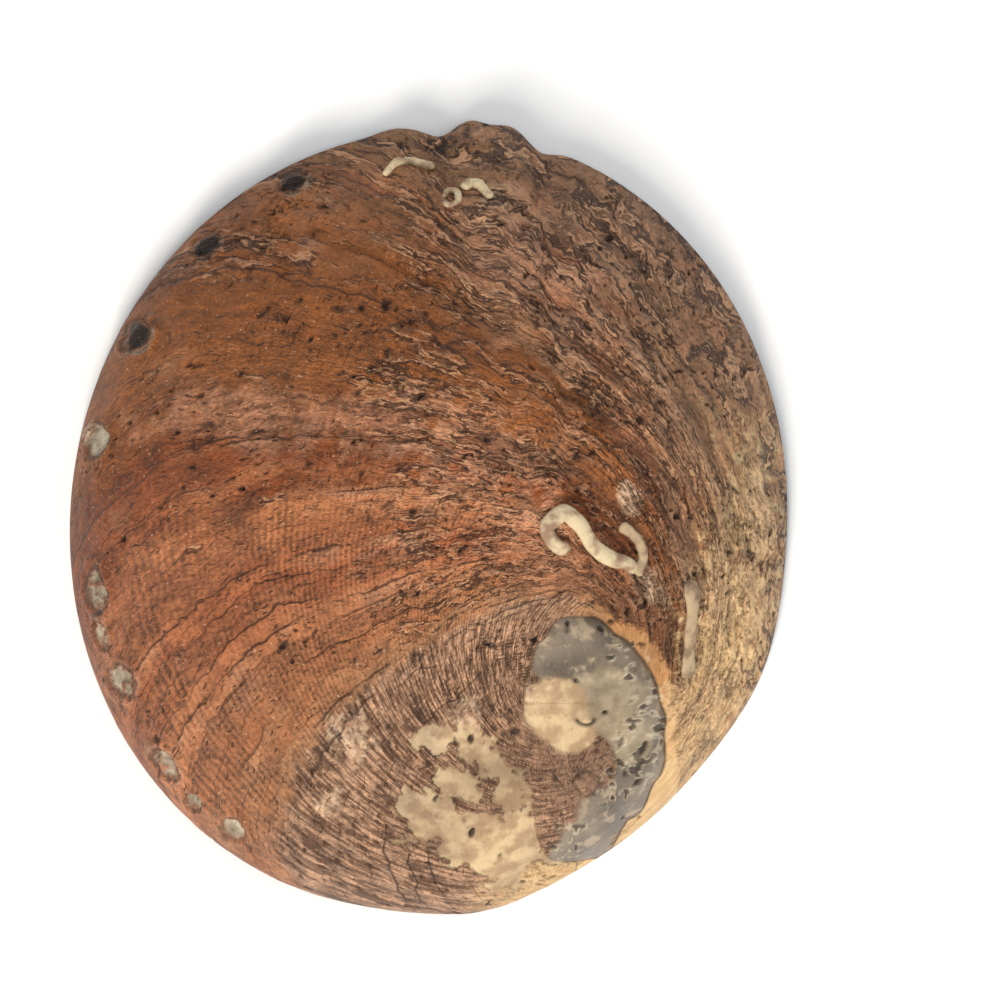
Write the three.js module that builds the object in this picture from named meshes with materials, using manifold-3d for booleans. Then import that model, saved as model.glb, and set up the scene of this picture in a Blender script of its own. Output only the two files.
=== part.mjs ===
// A large red-brown abalone shell, dome up, lying on its rim.
// Millimetres, +Z up. +Y is the growing front edge, the row of breathing pores runs down the -X side,
// and the small coiled spire is at the back on the +X side. The origin is under the middle of the shell.
import * as THREE from "three";
import { mergeVertices } from "three/addons/utils/BufferGeometryUtils.js";
import Module from "manifold-3d";

const wasm = await Module();
wasm.setup();

const RAD = Math.PI / 180;

// Overall size
const LONG_RADIUS = 85; // half the length of the oval rim
const SHORT_RADIUS = 77.5; // half its width
const LONG_AXIS_ANGLE = 75; // degrees from +X, so the oval leans a little
const DOME_HEIGHT = 50;

// The dome's crown and the tip of the spire, seen from above
const CROWN = { x: -2, y: -12 };
const APEX = { x: 34.3, y: -38.1 };
const CENTRING = { x: -0.02, y: -0.45 }; // puts the middle of the shell over the origin

// The wall
const CROWN_THICKNESS = 3.6;
const WALL_INSET = 3.3; // from the rim's outer edge to the inner wall, low on the side
const LIP_WIDTH = 2.4; // width of the rim's underside at the growing edge
const SHELF_WIDTH = 7.6; // width of the flat inner lip behind and on the pore side
const SHELF_MIDDLE = 225; // degrees round the rim
const SHELF_HALF_SPAN = 72;
const RIM_ROUNDING = 0.9;
const LIP_LIFT = 1.5; // how far the growing edge arches off the table

// Mesh density
const SPOKES = 96;
const SPIRE_RINGS = 6;
const BODY_RINGS = 15;
const BOWL_RINGS = 10;

// How the dome falls to the rim on each side: height = H (1 - s^power)^root, s from crown to rim
const SIDES = [
  { angle: 0, power: 2.3, root: 0.68 },
  { angle: 90, power: 2.15, root: 0.72 },
  { angle: 180, power: 3.2, root: 0.6 },
  { angle: 270, power: 2.8, root: 0.58 },
];

// Waves of the growing edge: where round the rim, how far out, and how wide, in degrees
const SCALLOPS = [
  { angle: 95, rise: 1.0, spread: 3.2 },
  { angle: 88.3, rise: -1.5, spread: 2.4 },
  { angle: 83.6, rise: 2.3, spread: 2.9 },
  { angle: 78.4, rise: 2.3, spread: 2.9 },
  { angle: 72.7, rise: -1.4, spread: 2.4 },
  { angle: 278, rise: 1.6, spread: 10 },
  { angle: 335, rise: 1.6, spread: 13 },
];

// The seam between the spire and the last whorl: angle and distance from the apex, and how deep the
// last whorl is sunk there, as a share of the height. The depth is zero where the seam is worn away.
const SEAM = [
  { angle: -86, radius: 34.5, depth: 0.36 },
  { angle: -70, radius: 27.3, depth: 0.3 },
  { angle: -50, radius: 22.4, depth: 0.2 },
  { angle: -19, radius: 16.8, depth: 0.13 },
  { angle: 4, radius: 14.4, depth: 0.1 },
  { angle: 38, radius: 14.1, depth: 0.075 },
  { angle: 67, radius: 15.1, depth: 0.06 },
  { angle: 89, radius: 17.9, depth: 0.045 },
  { angle: 109, radius: 18.6, depth: 0.025 },
  { angle: 129, radius: 16.5, depth: 0.01 },
  { angle: 152, radius: 14.5, depth: 0 },
  { angle: 185, radius: 14, depth: 0 },
  { angle: 212, radius: 16, depth: 0 },
  { angle: 238, radius: 25, depth: 0 },
  { angle: 258, radius: 35, depth: 0.1 },
];
const SEAM_REACH_OUT = 8; // how far the dip spreads over the last whorl
const SEAM_REACH_IN = 1.5; // and over the spire, which drops to it sharply
const BOWL_REACH_IN = 5.5; // the rib inside the bowl is blunter
const SPIRE_KNOB = { x: 35.2, y: -33.1, radius: 14, rise: 1.9 };

// Growth: ages are in radians of turn since the present edge
const EDGE_START = 106; // degrees round the apex where the pore row meets the present edge
const GROWTH_RATE = 0.73;
const LATE_GROWTH = 0.285;
const LATE_SPAN = 0.25;
const SWEEP_MOST = 48; // degrees that an old edge sweeps back to the pore row
const SWEEP_SPAN = 0.85;
const LATE_BEND = 0.14;
const LATE_BEND_START = 104; // degrees round the apex
const OLD_EDGES = [
  { age: 0.17, rise: 0.9, spread: 0.05 },
  { age: 0.47, rise: -1.1, spread: 0.04 },
  { age: 0.72, rise: 0.8, spread: 0.09 },
  { age: 1.07, rise: -0.9, spread: 0.06 },
  { age: 1.42, rise: 0.6, spread: 0.1 },
  { age: 1.63, rise: -0.6, spread: 0.06 },
  { age: 1.98, rise: 1.1, spread: 0.08 },
];

// Breathing pores, oldest first. Only the three nearest the growing edge are open.
const PORES = [
  { x: -41.0, y: -65.6, long: 5.6, wide: 3.6, open: false },
  { x: -49.6, y: -59.6, long: 3.6, wide: 3.0, open: false },
  { x: -55.4, y: -51.6, long: 6.0, wide: 4.0, open: false },
  { x: -64.6, y: -34.2, long: 6.0, wide: 5.0, open: false },
  { x: -69.0, y: -24.4, long: 4.6, wide: 2.4, open: false },
  { x: -70.4, y: -14.4, long: 7.2, wide: 4.2, open: false },
  { x: -70.4, y: 16.8, long: 6.0, wide: 4.2, open: false },
  { x: -61.8, y: 39.0, long: 6.2, wide: 4.8, open: true },
  { x: -47.1, y: 58.6, long: 5.6, wide: 4.2, open: true },
  { x: -28.8, y: 72.0, long: 5.2, wide: 3.8, open: true },
];
const PORE_SIDES = 12;
const PORE_RIM_RISE = 1.1;
const PORE_RIM_SPREAD = 4.4;
const KEEL_RISE = 1.3; // the ridge that carries the pores
const KEEL_SPREAD = 4.5;
const PIT_DEPTH = 1.3;
const PORE_TILT = 0.6; // how far a pore's bore leans from square on the wall towards upright
const BORE_HALF_LENGTH = 9;
const BORE_FLARE = 1.3;

// Chalky tubes of sea worms, cemented on the dome, as points seen from above
const WORM_TUBES = [
  { radius: 1.4, route: [[30.1, -6], [26.8, -4.9], [25, -1.5], [28.2, 1.4], [31.4, -0.5], [34.3, -5.1],
    [38.5, -8.1], [41.3, -8.7], [44.2, -10.9]] },
  { radius: 1.3, route: [[43.9, -11.4], [45.4, -7.7], [44.4, -4.1], [40.6, -1]] },
  { radius: 1.6, route: [[54.6, -12.4], [55.2, -19.5], [55, -27.5], [54.8, -33]] },
  { radius: 1.0, route: [[-9, 73.2], [-6.5, 75.8], [-3.2, 76.4], [1.1, 75]] },
  { radius: 1.3, route: [[4.2, 66.8], [6, 69.2], [8.4, 70], [11.2, 70.2], [13.6, 68]] },
];
const TUBE_SIDES = 6;
const TUBE_STEPS = 11;
const TUBE_STAND = 0.2; // how far a tube's middle line stands off the shell, in its own radii
const TUBE_END_SINK = 0.6; // its ends dip into the shell

const degrees = (y, x) => Math.atan2(y, x) / RAD;
const smooth = (v) => v * v * (3 - 2 * v);
const clamp01 = (v) => Math.min(1, Math.max(0, v));
const turnBetween = (a, b) => ((((a - b + 180) % 360) + 360) % 360) - 180;
const bell = (v, spread) => Math.exp(-((v / spread) ** 2));

// A value that runs smoothly round a full turn through the entries of a table.
function roundTable(table, key, angle) {
  for (let i = 0; i < table.length; i++) {
    const here = table[i];
    const next = table[(i + 1) % table.length];
    const span = (((next.angle - here.angle) % 360) + 360) % 360;
    const along = (((angle - here.angle) % 360) + 360) % 360;
    if (along < span) return here[key] + (next[key] - here[key]) * smooth(along / span);
  }
  return table[0][key];
}

// Distance from the origin to the rim in a direction.
function rimRadius(angle) {
  const turn = (angle - LONG_AXIS_ANGLE) * RAD;
  const oval = 1 / Math.hypot(Math.cos(turn) / LONG_RADIUS, Math.sin(turn) / SHORT_RADIUS);
  const lean = -0.8 + 0.6 * Math.cos(2 * (angle - 130) * RAD);
  const waves = SCALLOPS.reduce((sum, w) => sum + w.rise * bell(turnBetween(angle, w.angle), w.spread), 0);
  return oval + lean + waves;
}

const rimPoint = (angle, inset = 0) => {
  const r = rimRadius(angle) - inset;
  return { x: r * Math.cos(angle * RAD), y: r * Math.sin(angle * RAD) };
};

// How far a point is from the crown, with 1 at a rim that is inset by some distance.
function crownShare(x, y, inset = 0) {
  const dx = x - CROWN.x;
  const dy = y - CROWN.y;
  let low = 1e-4;
  let high = 2;
  for (let i = 0; i < 34; i++) {
    const share = (low + high) / 2;
    const px = CROWN.x + dx / share;
    const py = CROWN.y + dy / share;
    if (Math.hypot(px, py) > rimRadius(degrees(py, px)) - inset) low = share;
    else high = share;
  }
  return (low + high) / 2;
}

function domeHeight(x, y, height, inset = 0) {
  const share = Math.min(1, crownShare(x, y, inset));
  const side = degrees(y - CROWN.y, x - CROWN.x);
  const power = roundTable(SIDES, "power", side);
  const root = roundTable(SIDES, "root", side);
  return height * (1 - share ** power) ** root;
}

// Angle and distance from the apex, and the distance to the rim along the same line.
function fromApex(x, y) {
  const dx = x - APEX.x;
  const dy = y - APEX.y;
  let low = 0;
  let high = 200;
  const length = Math.hypot(dx, dy) || 1e-6;
  for (let i = 0; i < 34; i++) {
    const reach = (low + high) / 2;
    const px = APEX.x + (dx / length) * reach;
    const py = APEX.y + (dy / length) * reach;
    if (Math.hypot(px, py) > rimRadius(degrees(py, px))) high = reach;
    else low = reach;
  }
  return { angle: degrees(dy, dx), radius: length, rim: (low + high) / 2 };
}

// How much the seam lowers the surface at a point, as a share of its height.
function seamDip(x, y, reachIn) {
  const angle = degrees(y - APEX.y, x - APEX.x);
  const beyond = Math.hypot(x - APEX.x, y - APEX.y) - roundTable(SEAM, "radius", angle);
  const depth = roundTable(SEAM, "depth", angle);
  return depth * (beyond > 0 ? Math.exp(-((beyond / SEAM_REACH_OUT) ** 1.3)) : Math.exp(beyond / reachIn));
}

const knobRise = (x, y) =>
  SPIRE_KNOB.rise * Math.exp(-((Math.hypot(x - SPIRE_KNOB.x, y - SPIRE_KNOB.y) / SPIRE_KNOB.radius) ** 4));

// Radians of turn since the shell's edge lay at this point.
function growthAge(x, y) {
  const { angle, radius, rim } = fromApex(x, y);
  const onSpire = radius < roundTable(SEAM, "radius", angle);
  const turned = angle < -94 || onSpire ? angle + 360 : angle;
  const wanted = -Math.log(Math.min(0.9999, radius / rim));
  let low = Math.max(0, (turned - EDGE_START) * RAD);
  let high = 9;
  for (let i = 0; i < 34; i++) {
    const age = (low + high) / 2;
    const plateau = GROWTH_RATE * age + LATE_GROWTH * (1 - Math.exp(-age / LATE_SPAN));
    const sweep = SWEEP_MOST * (1 - Math.exp(-age / SWEEP_SPAN));
    const behind = Math.max(0, EDGE_START + age / RAD - turned) / Math.max(sweep, 1e-6);
    if (plateau * (1 - Math.exp(-0.693 * behind ** 1.8)) < wanted) low = age;
    else high = age;
  }
  return (low + high) / 2;
}

// The age of the layer that shows at a point. Late edges bend inward on the side away from the pores.
function layerAge(x, y) {
  const age = growthAge(x, y);
  const bend = smooth(clamp01((LATE_BEND_START - degrees(y - APEX.y, x - APEX.x)) / 34));
  return age - LATE_BEND * bend * (1 - smooth(clamp01((age - 0.2) / 0.25)));
}

// The steps and swells that old edges leave, fading out at the rim and on the spire.
function growthRelief(x, y) {
  const age = layerAge(x, y);
  const share = crownShare(x, y);
  const offSpire = smooth(clamp01((Math.hypot(x - APEX.x, y - APEX.y) - 18) / 22));
  const swell = OLD_EDGES.reduce((sum, e) => sum + e.rise * bell(age - e.age, e.spread), 0);
  return swell * offSpire * smooth(clamp01((1 - share) / 0.1));
}

// The folds that end in the waves of the growing edge.
function edgeFolds(x, y) {
  const angle = degrees(y, x);
  const share = crownShare(x, y);
  const fold = SCALLOPS.slice(0, 5).reduce(
    (sum, w) => sum + w.rise * bell(turnBetween(angle, w.angle), w.spread * 1.3), 0);
  return 0.45 * fold * bell(1 - share, 0.22) * smooth(clamp01((1 - share) / 0.05));
}

function distanceToStretch(x, y, a, b) {
  const [dx, dy] = [b.x - a.x, b.y - a.y];
  const along = clamp01(((x - a.x) * dx + (y - a.y) * dy) / (dx * dx + dy * dy));
  return Math.hypot(x - a.x - along * dx, y - a.y - along * dy);
}

// The pores stand on a low keel, each in a raised rim of its own.
function poreRow(x, y) {
  const share = crownShare(x, y);
  const rims = PORES.reduce((sum, p) => sum + bell(Math.hypot(x - p.x, y - p.y), PORE_RIM_SPREAD), 0);
  const stretches = PORES.slice(1).map((p, i) => distanceToStretch(x, y, PORES[i], p));
  const keel = bell(Math.min(...stretches), KEEL_SPREAD);
  return (PORE_RIM_RISE * rims + KEEL_RISE * keel) * smooth(clamp01((1 - share) / 0.03));
}

const rimLift = (angle) => {
  const offShelf = clamp01((Math.abs(turnBetween(angle, SHELF_MIDDLE)) - SHELF_HALF_SPAN) / 25);
  return LIP_LIFT * smooth(offShelf) * Math.sin(1.5 * turnBetween(angle, 60) * RAD) ** 2;
};

function outerHeight(x, y) {
  const base = domeHeight(x, y, DOME_HEIGHT);
  return base * (1 - seamDip(x, y, SEAM_REACH_IN)) + knobRise(x, y)
    + growthRelief(x, y) + edgeFolds(x, y) + poreRow(x, y);
}

function innerHeight(x, y) {
  const base = domeHeight(x, y, DOME_HEIGHT - CROWN_THICKNESS, WALL_INSET);
  return base * (1 - 1.08 * seamDip(x, y, BOWL_REACH_IN)) + 0.6 * knobRise(x, y);
}

const spokeAngles = Array.from({ length: SPOKES }, (_, j) => (360 * j) / SPOKES);

// A ring with one point on the line from the apex to each rim point.
function ringAt(shareOf, heightOf, inset = 0) {
  return spokeAngles.map((angle) => {
    const edge = rimPoint(angle, inset);
    const share = shareOf(edge);
    const x = APEX.x + (edge.x - APEX.x) * share;
    const y = APEX.y + (edge.y - APEX.y) * share;
    return [x, y, heightOf(x, y, angle)];
  });
}

// The share of the way from the apex to the rim at which the seam lies.
function seamShare(edge) {
  const angle = degrees(edge.y - APEX.y, edge.x - APEX.x);
  const reach = Math.hypot(edge.x - APEX.x, edge.y - APEX.y);
  return Math.min(0.86, roundTable(SEAM, "radius", angle) / reach);
}

// Half the width of the rim's underside: wide on the flat inner lip, narrow at the growing edge.
const rimWidth = (angle) => {
  const off = clamp01((Math.abs(turnBetween(angle, SHELF_MIDDLE)) - SHELF_HALF_SPAN + 12) / 45);
  return SHELF_WIDTH + (LIP_WIDTH - SHELF_WIDTH) * smooth(off);
};

function rimRing(insetOf, heightOf) {
  return spokeAngles.map((angle) => {
    const p = rimPoint(angle, insetOf(angle));
    return [p.x, p.y, heightOf(angle) + rimLift(angle)];
  });
}

// Rings from the apex over the dome, under the rim and back up inside the bowl.
function shellRings() {
  const rings = [];
  for (let k = 1; k < SPIRE_RINGS; k++) {
    rings.push(ringAt((edge) => seamShare(edge) * (k / SPIRE_RINGS) ** 0.8, outerHeight));
  }
  rings.push(ringAt((edge) => seamShare(edge) - 0.012, outerHeight));
  rings.push(ringAt((edge) => seamShare(edge) + 0.006, outerHeight));
  for (let k = 1; k < BODY_RINGS; k++) {
    const toRim = 1 - (1 - k / BODY_RINGS) ** 1.7;
    rings.push(ringAt((edge) => seamShare(edge) + (1 - seamShare(edge)) * toRim,
      (x, y, angle) => outerHeight(x, y) + rimLift(angle) * toRim ** 3));
  }
  rings.push(rimRing(() => 0, () => RIM_ROUNDING));
  rings.push(rimRing(() => RIM_ROUNDING, () => 0));
  rings.push(rimRing(rimWidth, () => 0));
  rings.push(rimRing((a) => rimWidth(a) + 0.1, () => RIM_ROUNDING));
  rings.push(rimRing((a) => WALL_INSET + 0.45 * (rimWidth(a) - WALL_INSET) + 0.4, () => 2.9));
  for (let k = 0; k < BOWL_RINGS; k++) {
    const share = 0.975 * (1 - (k / BOWL_RINGS) ** 1.25);
    rings.push(ringAt(() => share, innerHeight, WALL_INSET));
  }
  return rings;
}

// A closed skin over rings of equal length, from one pole to the other.
function skin(firstPole, rings, lastPole) {
  const positions = [...firstPole, ...rings.flat(2), ...lastPole];
  const at = (k, j) => 1 + k * SPOKES + (j % SPOKES);
  const last = 1 + rings.length * SPOKES;
  const index = [];
  for (let j = 0; j < SPOKES; j++) {
    index.push(0, at(0, j), at(0, j + 1));
    for (let k = 0; k + 1 < rings.length; k++) {
      index.push(at(k, j), at(k + 1, j), at(k + 1, j + 1));
      index.push(at(k, j), at(k + 1, j + 1), at(k, j + 1));
    }
    index.push(at(rings.length - 1, j), last, at(rings.length - 1, j + 1));
  }
  const geometry = new THREE.BufferGeometry();
  geometry.setAttribute("position", new THREE.Float32BufferAttribute(positions, 3));
  geometry.setIndex(index);
  return geometry;
}

function solidFrom(geometry) {
  geometry.deleteAttribute("normal");
  geometry.deleteAttribute("uv");
  const merged = mergeVertices(geometry, 1e-4);
  return new wasm.Manifold(new wasm.Mesh({
    numProp: 3,
    vertProperties: merged.attributes.position.array,
    triVerts: new Uint32Array(merged.index.array),
  }));
}

function geometryFrom(solid) {
  const mesh = solid.getMesh();
  const geometry = new THREE.BufferGeometry();
  geometry.setAttribute("position", new THREE.BufferAttribute(mesh.vertProperties, 3));
  geometry.setIndex(new THREE.BufferAttribute(mesh.triVerts, 1));
  geometry.computeVertexNormals();
  return geometry;
}

// The surface point above a place, its outward direction, and the direction along the rim.
function placeOnDome(x, y) {
  const step = 0.6;
  const slopeX = (outerHeight(x + step, y) - outerHeight(x - step, y)) / (2 * step);
  const slopeY = (outerHeight(x, y + step) - outerHeight(x, y - step)) / (2 * step);
  const outward = new THREE.Vector3(-slopeX, -slopeY, 1).normalize();
  const along = new THREE.Vector3(0, 0, 1).cross(outward).normalize();
  return { point: new THREE.Vector3(x, y, outerHeight(x, y)), outward, along };
}

// A flared oval cutter: right through the wall for an open pore, a shallow pit for a healed one.
function poreCutter(pore) {
  const { point, outward, along } = placeOnDome(pore.x, pore.y);
  const bore = outward.lerp(new THREE.Vector3(0, 0, 1), PORE_TILT).normalize();
  const across = new THREE.Vector3().crossVectors(along, bore);
  const reach = pore.open ? BORE_HALF_LENGTH : PIT_DEPTH;
  const top = BORE_HALF_LENGTH;
  const geometry = new THREE.CylinderGeometry(BORE_FLARE, 1, reach + top, PORE_SIDES);
  geometry.translate(0, (top - reach) / 2, 0);
  geometry.scale(pore.long / 2, 1, pore.wide / 2);
  geometry.applyMatrix4(new THREE.Matrix4().makeBasis(along, bore, across));
  geometry.translate(point.x, point.y, point.z);
  return solidFrom(geometry);
}

function wormTube(tube) {
  const points = tube.route.map(([x, y], i) => {
    const { point, outward } = placeOnDome(x, y);
    const buried = i === 0 || i === tube.route.length - 1;
    return point.addScaledVector(outward, tube.radius * (buried ? -TUBE_END_SINK : TUBE_STAND));
  });
  const section = new THREE.Shape();
  for (let i = 0; i < TUBE_SIDES; i++) {
    const turn = (i / TUBE_SIDES) * 2 * Math.PI;
    const [x, y] = [tube.radius * Math.cos(turn), tube.radius * Math.sin(turn)];
    if (i === 0) section.moveTo(x, y);
    else section.lineTo(x, y);
  }
  const path = new THREE.CatmullRomCurve3(points);
  return solidFrom(new THREE.ExtrudeGeometry(section, { steps: TUBE_STEPS, extrudePath: path }));
}

// The solid without the small bubbles that are closed in where a tube lies on the dome.
function withoutBubbles(solid) {
  return solid.decompose().reduce((most, body) => (body.volume() > most.volume() ? body : most));
}

function shellGeometry() {
  const apexTop = [APEX.x, APEX.y, outerHeight(APEX.x, APEX.y)];
  const apexUnder = [APEX.x, APEX.y, innerHeight(APEX.x, APEX.y)];
  let solid = solidFrom(skin(apexTop, shellRings(), apexUnder));
  for (const tube of WORM_TUBES) solid = solid.add(wormTube(tube));
  solid = withoutBubbles(solid);
  for (const pore of PORES) solid = solid.subtract(poreCutter(pore));
  return geometryFrom(solid);
}

const shell = new THREE.Mesh(
  shellGeometry(),
  new THREE.MeshStandardMaterial({ color: 0x9c5f42, roughness: 0.75, metalness: 0 }),
);
shell.name = "abalone_shell";
shell.position.set(CENTRING.x, CENTRING.y, 0);

const abaloneShell = new THREE.Group();
abaloneShell.name = "abalone";
abaloneShell.add(shell);

export default abaloneShell;
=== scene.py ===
"""A large red-brown abalone shell, dome up on a pale table, seen from straight above."""

import logging
import math
from dataclasses import dataclass, field
from enum import Enum

import bpy
import numpy as np
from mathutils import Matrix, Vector


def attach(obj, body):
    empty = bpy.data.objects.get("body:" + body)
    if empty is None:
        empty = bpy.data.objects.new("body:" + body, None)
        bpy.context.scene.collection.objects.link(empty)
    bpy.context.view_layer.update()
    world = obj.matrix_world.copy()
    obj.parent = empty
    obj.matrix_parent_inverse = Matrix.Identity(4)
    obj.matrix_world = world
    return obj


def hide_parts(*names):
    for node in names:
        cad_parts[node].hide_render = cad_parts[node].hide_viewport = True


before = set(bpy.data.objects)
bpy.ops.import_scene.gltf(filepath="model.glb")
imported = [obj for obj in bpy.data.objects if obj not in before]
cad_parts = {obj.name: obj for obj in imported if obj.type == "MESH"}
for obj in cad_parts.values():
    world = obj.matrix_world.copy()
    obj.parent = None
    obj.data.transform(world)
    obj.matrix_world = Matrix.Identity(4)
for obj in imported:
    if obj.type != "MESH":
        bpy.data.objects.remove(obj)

LOG = logging.getLogger("abalone")
NODE = "abalone_shell"
MM = 0.001
RAD = math.pi / 180
SEED = 20

Array = np.ndarray
Colour = tuple[float, float, float]


class Side(Enum):
    """The two faces of the shell's wall."""

    OUTSIDE = 0
    INSIDE = 1


@dataclass(frozen=True)
class Wave:
    """A swell or dip: where it is, how high it stands in millimetres, and how wide it spreads."""

    at: float
    rise: float
    spread: float


@dataclass(frozen=True)
class Pore:
    """A breathing pore, by its middle seen from above and its size, in millimetres."""

    x: float
    y: float
    long: float
    wide: float
    is_open: bool


@dataclass(frozen=True)
class Spot:
    """An oval patch seen from above, in millimetres, turned by some degrees."""

    x: float
    y: float
    long: float
    wide: float
    turn: float = 0.0

    def share(self, x: Array, y: Array) -> Array:
        """Gives how far points are from the middle, with 1 at the oval's edge.

        Args:
            x: The points' places along X, in millimetres.
            y: The points' places along Y, in millimetres.

        Returns:
            The distance of each point, as a share of the oval's half width in that direction.
        """
        cos, sin = math.cos(self.turn * RAD), math.sin(self.turn * RAD)
        along = (x - self.x) * cos + (y - self.y) * sin
        across = (y - self.y) * cos - (x - self.x) * sin
        return np.hypot(along / (self.long / 2), across / (self.wide / 2))


def degrees(y: Array, x: Array) -> Array:
    """Returns the angle of a direction, in degrees."""
    return np.arctan2(y, x) / RAD


def clamp01(value: Array) -> Array:
    """Returns the value held between 0 and 1."""
    return np.clip(value, 0.0, 1.0)


def smooth(value: Array) -> Array:
    """Returns an eased value between 0 and 1."""
    held = clamp01(value)
    return held * held * (3 - 2 * held)


def turn_between(a: Array, b: float) -> Array:
    """Returns the signed turn from b to a, in degrees."""
    return np.mod(a - b + 180, 360) - 180


def bell(value: Array, spread: float) -> Array:
    """Returns a bell curve that is 1 at 0."""
    return np.exp(-((value / spread) ** 2))


class Noise:
    """Smooth seeded noise in two directions, worked out from a hash of the lattice."""

    def __init__(self, seed: int) -> None:
        """Keeps the seed."""
        self.seed = seed

    def corner(self, i: Array, j: Array, pattern: int) -> Array:
        """Gives the random value of a lattice corner.

        Args:
            i: The corner's step along the first axis.
            j: Its step along the second axis.
            pattern: Which of many alike patterns is taken.

        Returns:
            A value from -1 to 1 for each corner.
        """
        mixed = i * 374761393 + j * 668265263 + pattern * 2147483647 + self.seed * 144665
        mixed = (mixed ^ (mixed >> 13)) * 1274126177 & 0xFFFFFFFF
        mixed = (mixed ^ (mixed >> 16)) & 0xFFFF
        return mixed / 32767.5 - 1.0

    def at(self, x: Array, y: Array, pattern: int = 0) -> Array:
        """Gives the noise at some points.

        Args:
            x: The points' first coordinate.
            y: Their second coordinate.
            pattern: Which of many alike patterns is taken.

        Returns:
            A value from about -1 to 1 for each point.
        """
        i, j = np.floor(x), np.floor(y)
        u, v = smooth(x - i), smooth(y - j)
        i, j = i.astype(np.int64), j.astype(np.int64)
        low = (1 - u) * self.corner(i, j, pattern) + u * self.corner(i + 1, j, pattern)
        high = (1 - u) * self.corner(i, j + 1, pattern) + u * self.corner(i + 1, j + 1, pattern)
        return (1 - v) * low + v * high

    def cloud(self, x: Array, y: Array, octaves: int = 4, pattern: int = 0) -> Array:
        """Gives noise with finer and finer detail.

        Args:
            x: The points' first coordinate.
            y: Their second coordinate.
            octaves: How many layers are added, each twice as fine as the last.
            pattern: Which of many alike patterns is taken.

        Returns:
            A value from about -1 to 1 for each point.
        """
        total, strength, whole = np.zeros_like(x), 1.0, 0.0
        for layer in range(octaves):
            total = total + strength * self.at(x * 2.0**layer, y * 2.0**layer, pattern * 8 + layer)
            whole += strength
            strength *= 0.55
        return total / whole * 1.4

    def dots(self, x: Array, y: Array, pattern: int, rare: float = 3.0) -> Array:
        """Scatters dots of many sizes, one in each cell of the lattice.

        Args:
            x: The points' first coordinate.
            y: Their second coordinate.
            pattern: Which of many alike patterns is taken.
            rare: How few of the dots are large.

        Returns:
            How far inside a dot each point is: 1 at a dot's middle, 0 at its edge, less outside.
        """
        best = np.full_like(x, -9.0)
        for a in (-1, 0, 1):
            for b in (-1, 0, 1):
                i, j = np.floor(x).astype(np.int64) + a, np.floor(y).astype(np.int64) + b
                across = x - i - 0.5 - 0.4 * self.corner(i, j, pattern)
                along = y - j - 0.5 - 0.4 * self.corner(i, j, pattern + 1)
                size = 0.03 + 0.34 * ((self.corner(i, j, pattern + 2) + 1) / 2) ** rare
                best = np.maximum(best, 1 - np.hypot(across, along) / size)
        return best


@dataclass(frozen=True)
class ToneAndShade:
    """A soft lighter or darker place, partly the shell's own tone and partly painted shade, by its middle and
    reach in millimetres and its shade.
    """

    x: float
    y: float
    reach: float
    shade: float

    def share(self, x: Array, y: Array) -> Array:
        """Returns how much lighter or darker the patch makes some points."""
        return self.shade * bell(np.hypot(x - self.x, y - self.y), self.reach)


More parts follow.
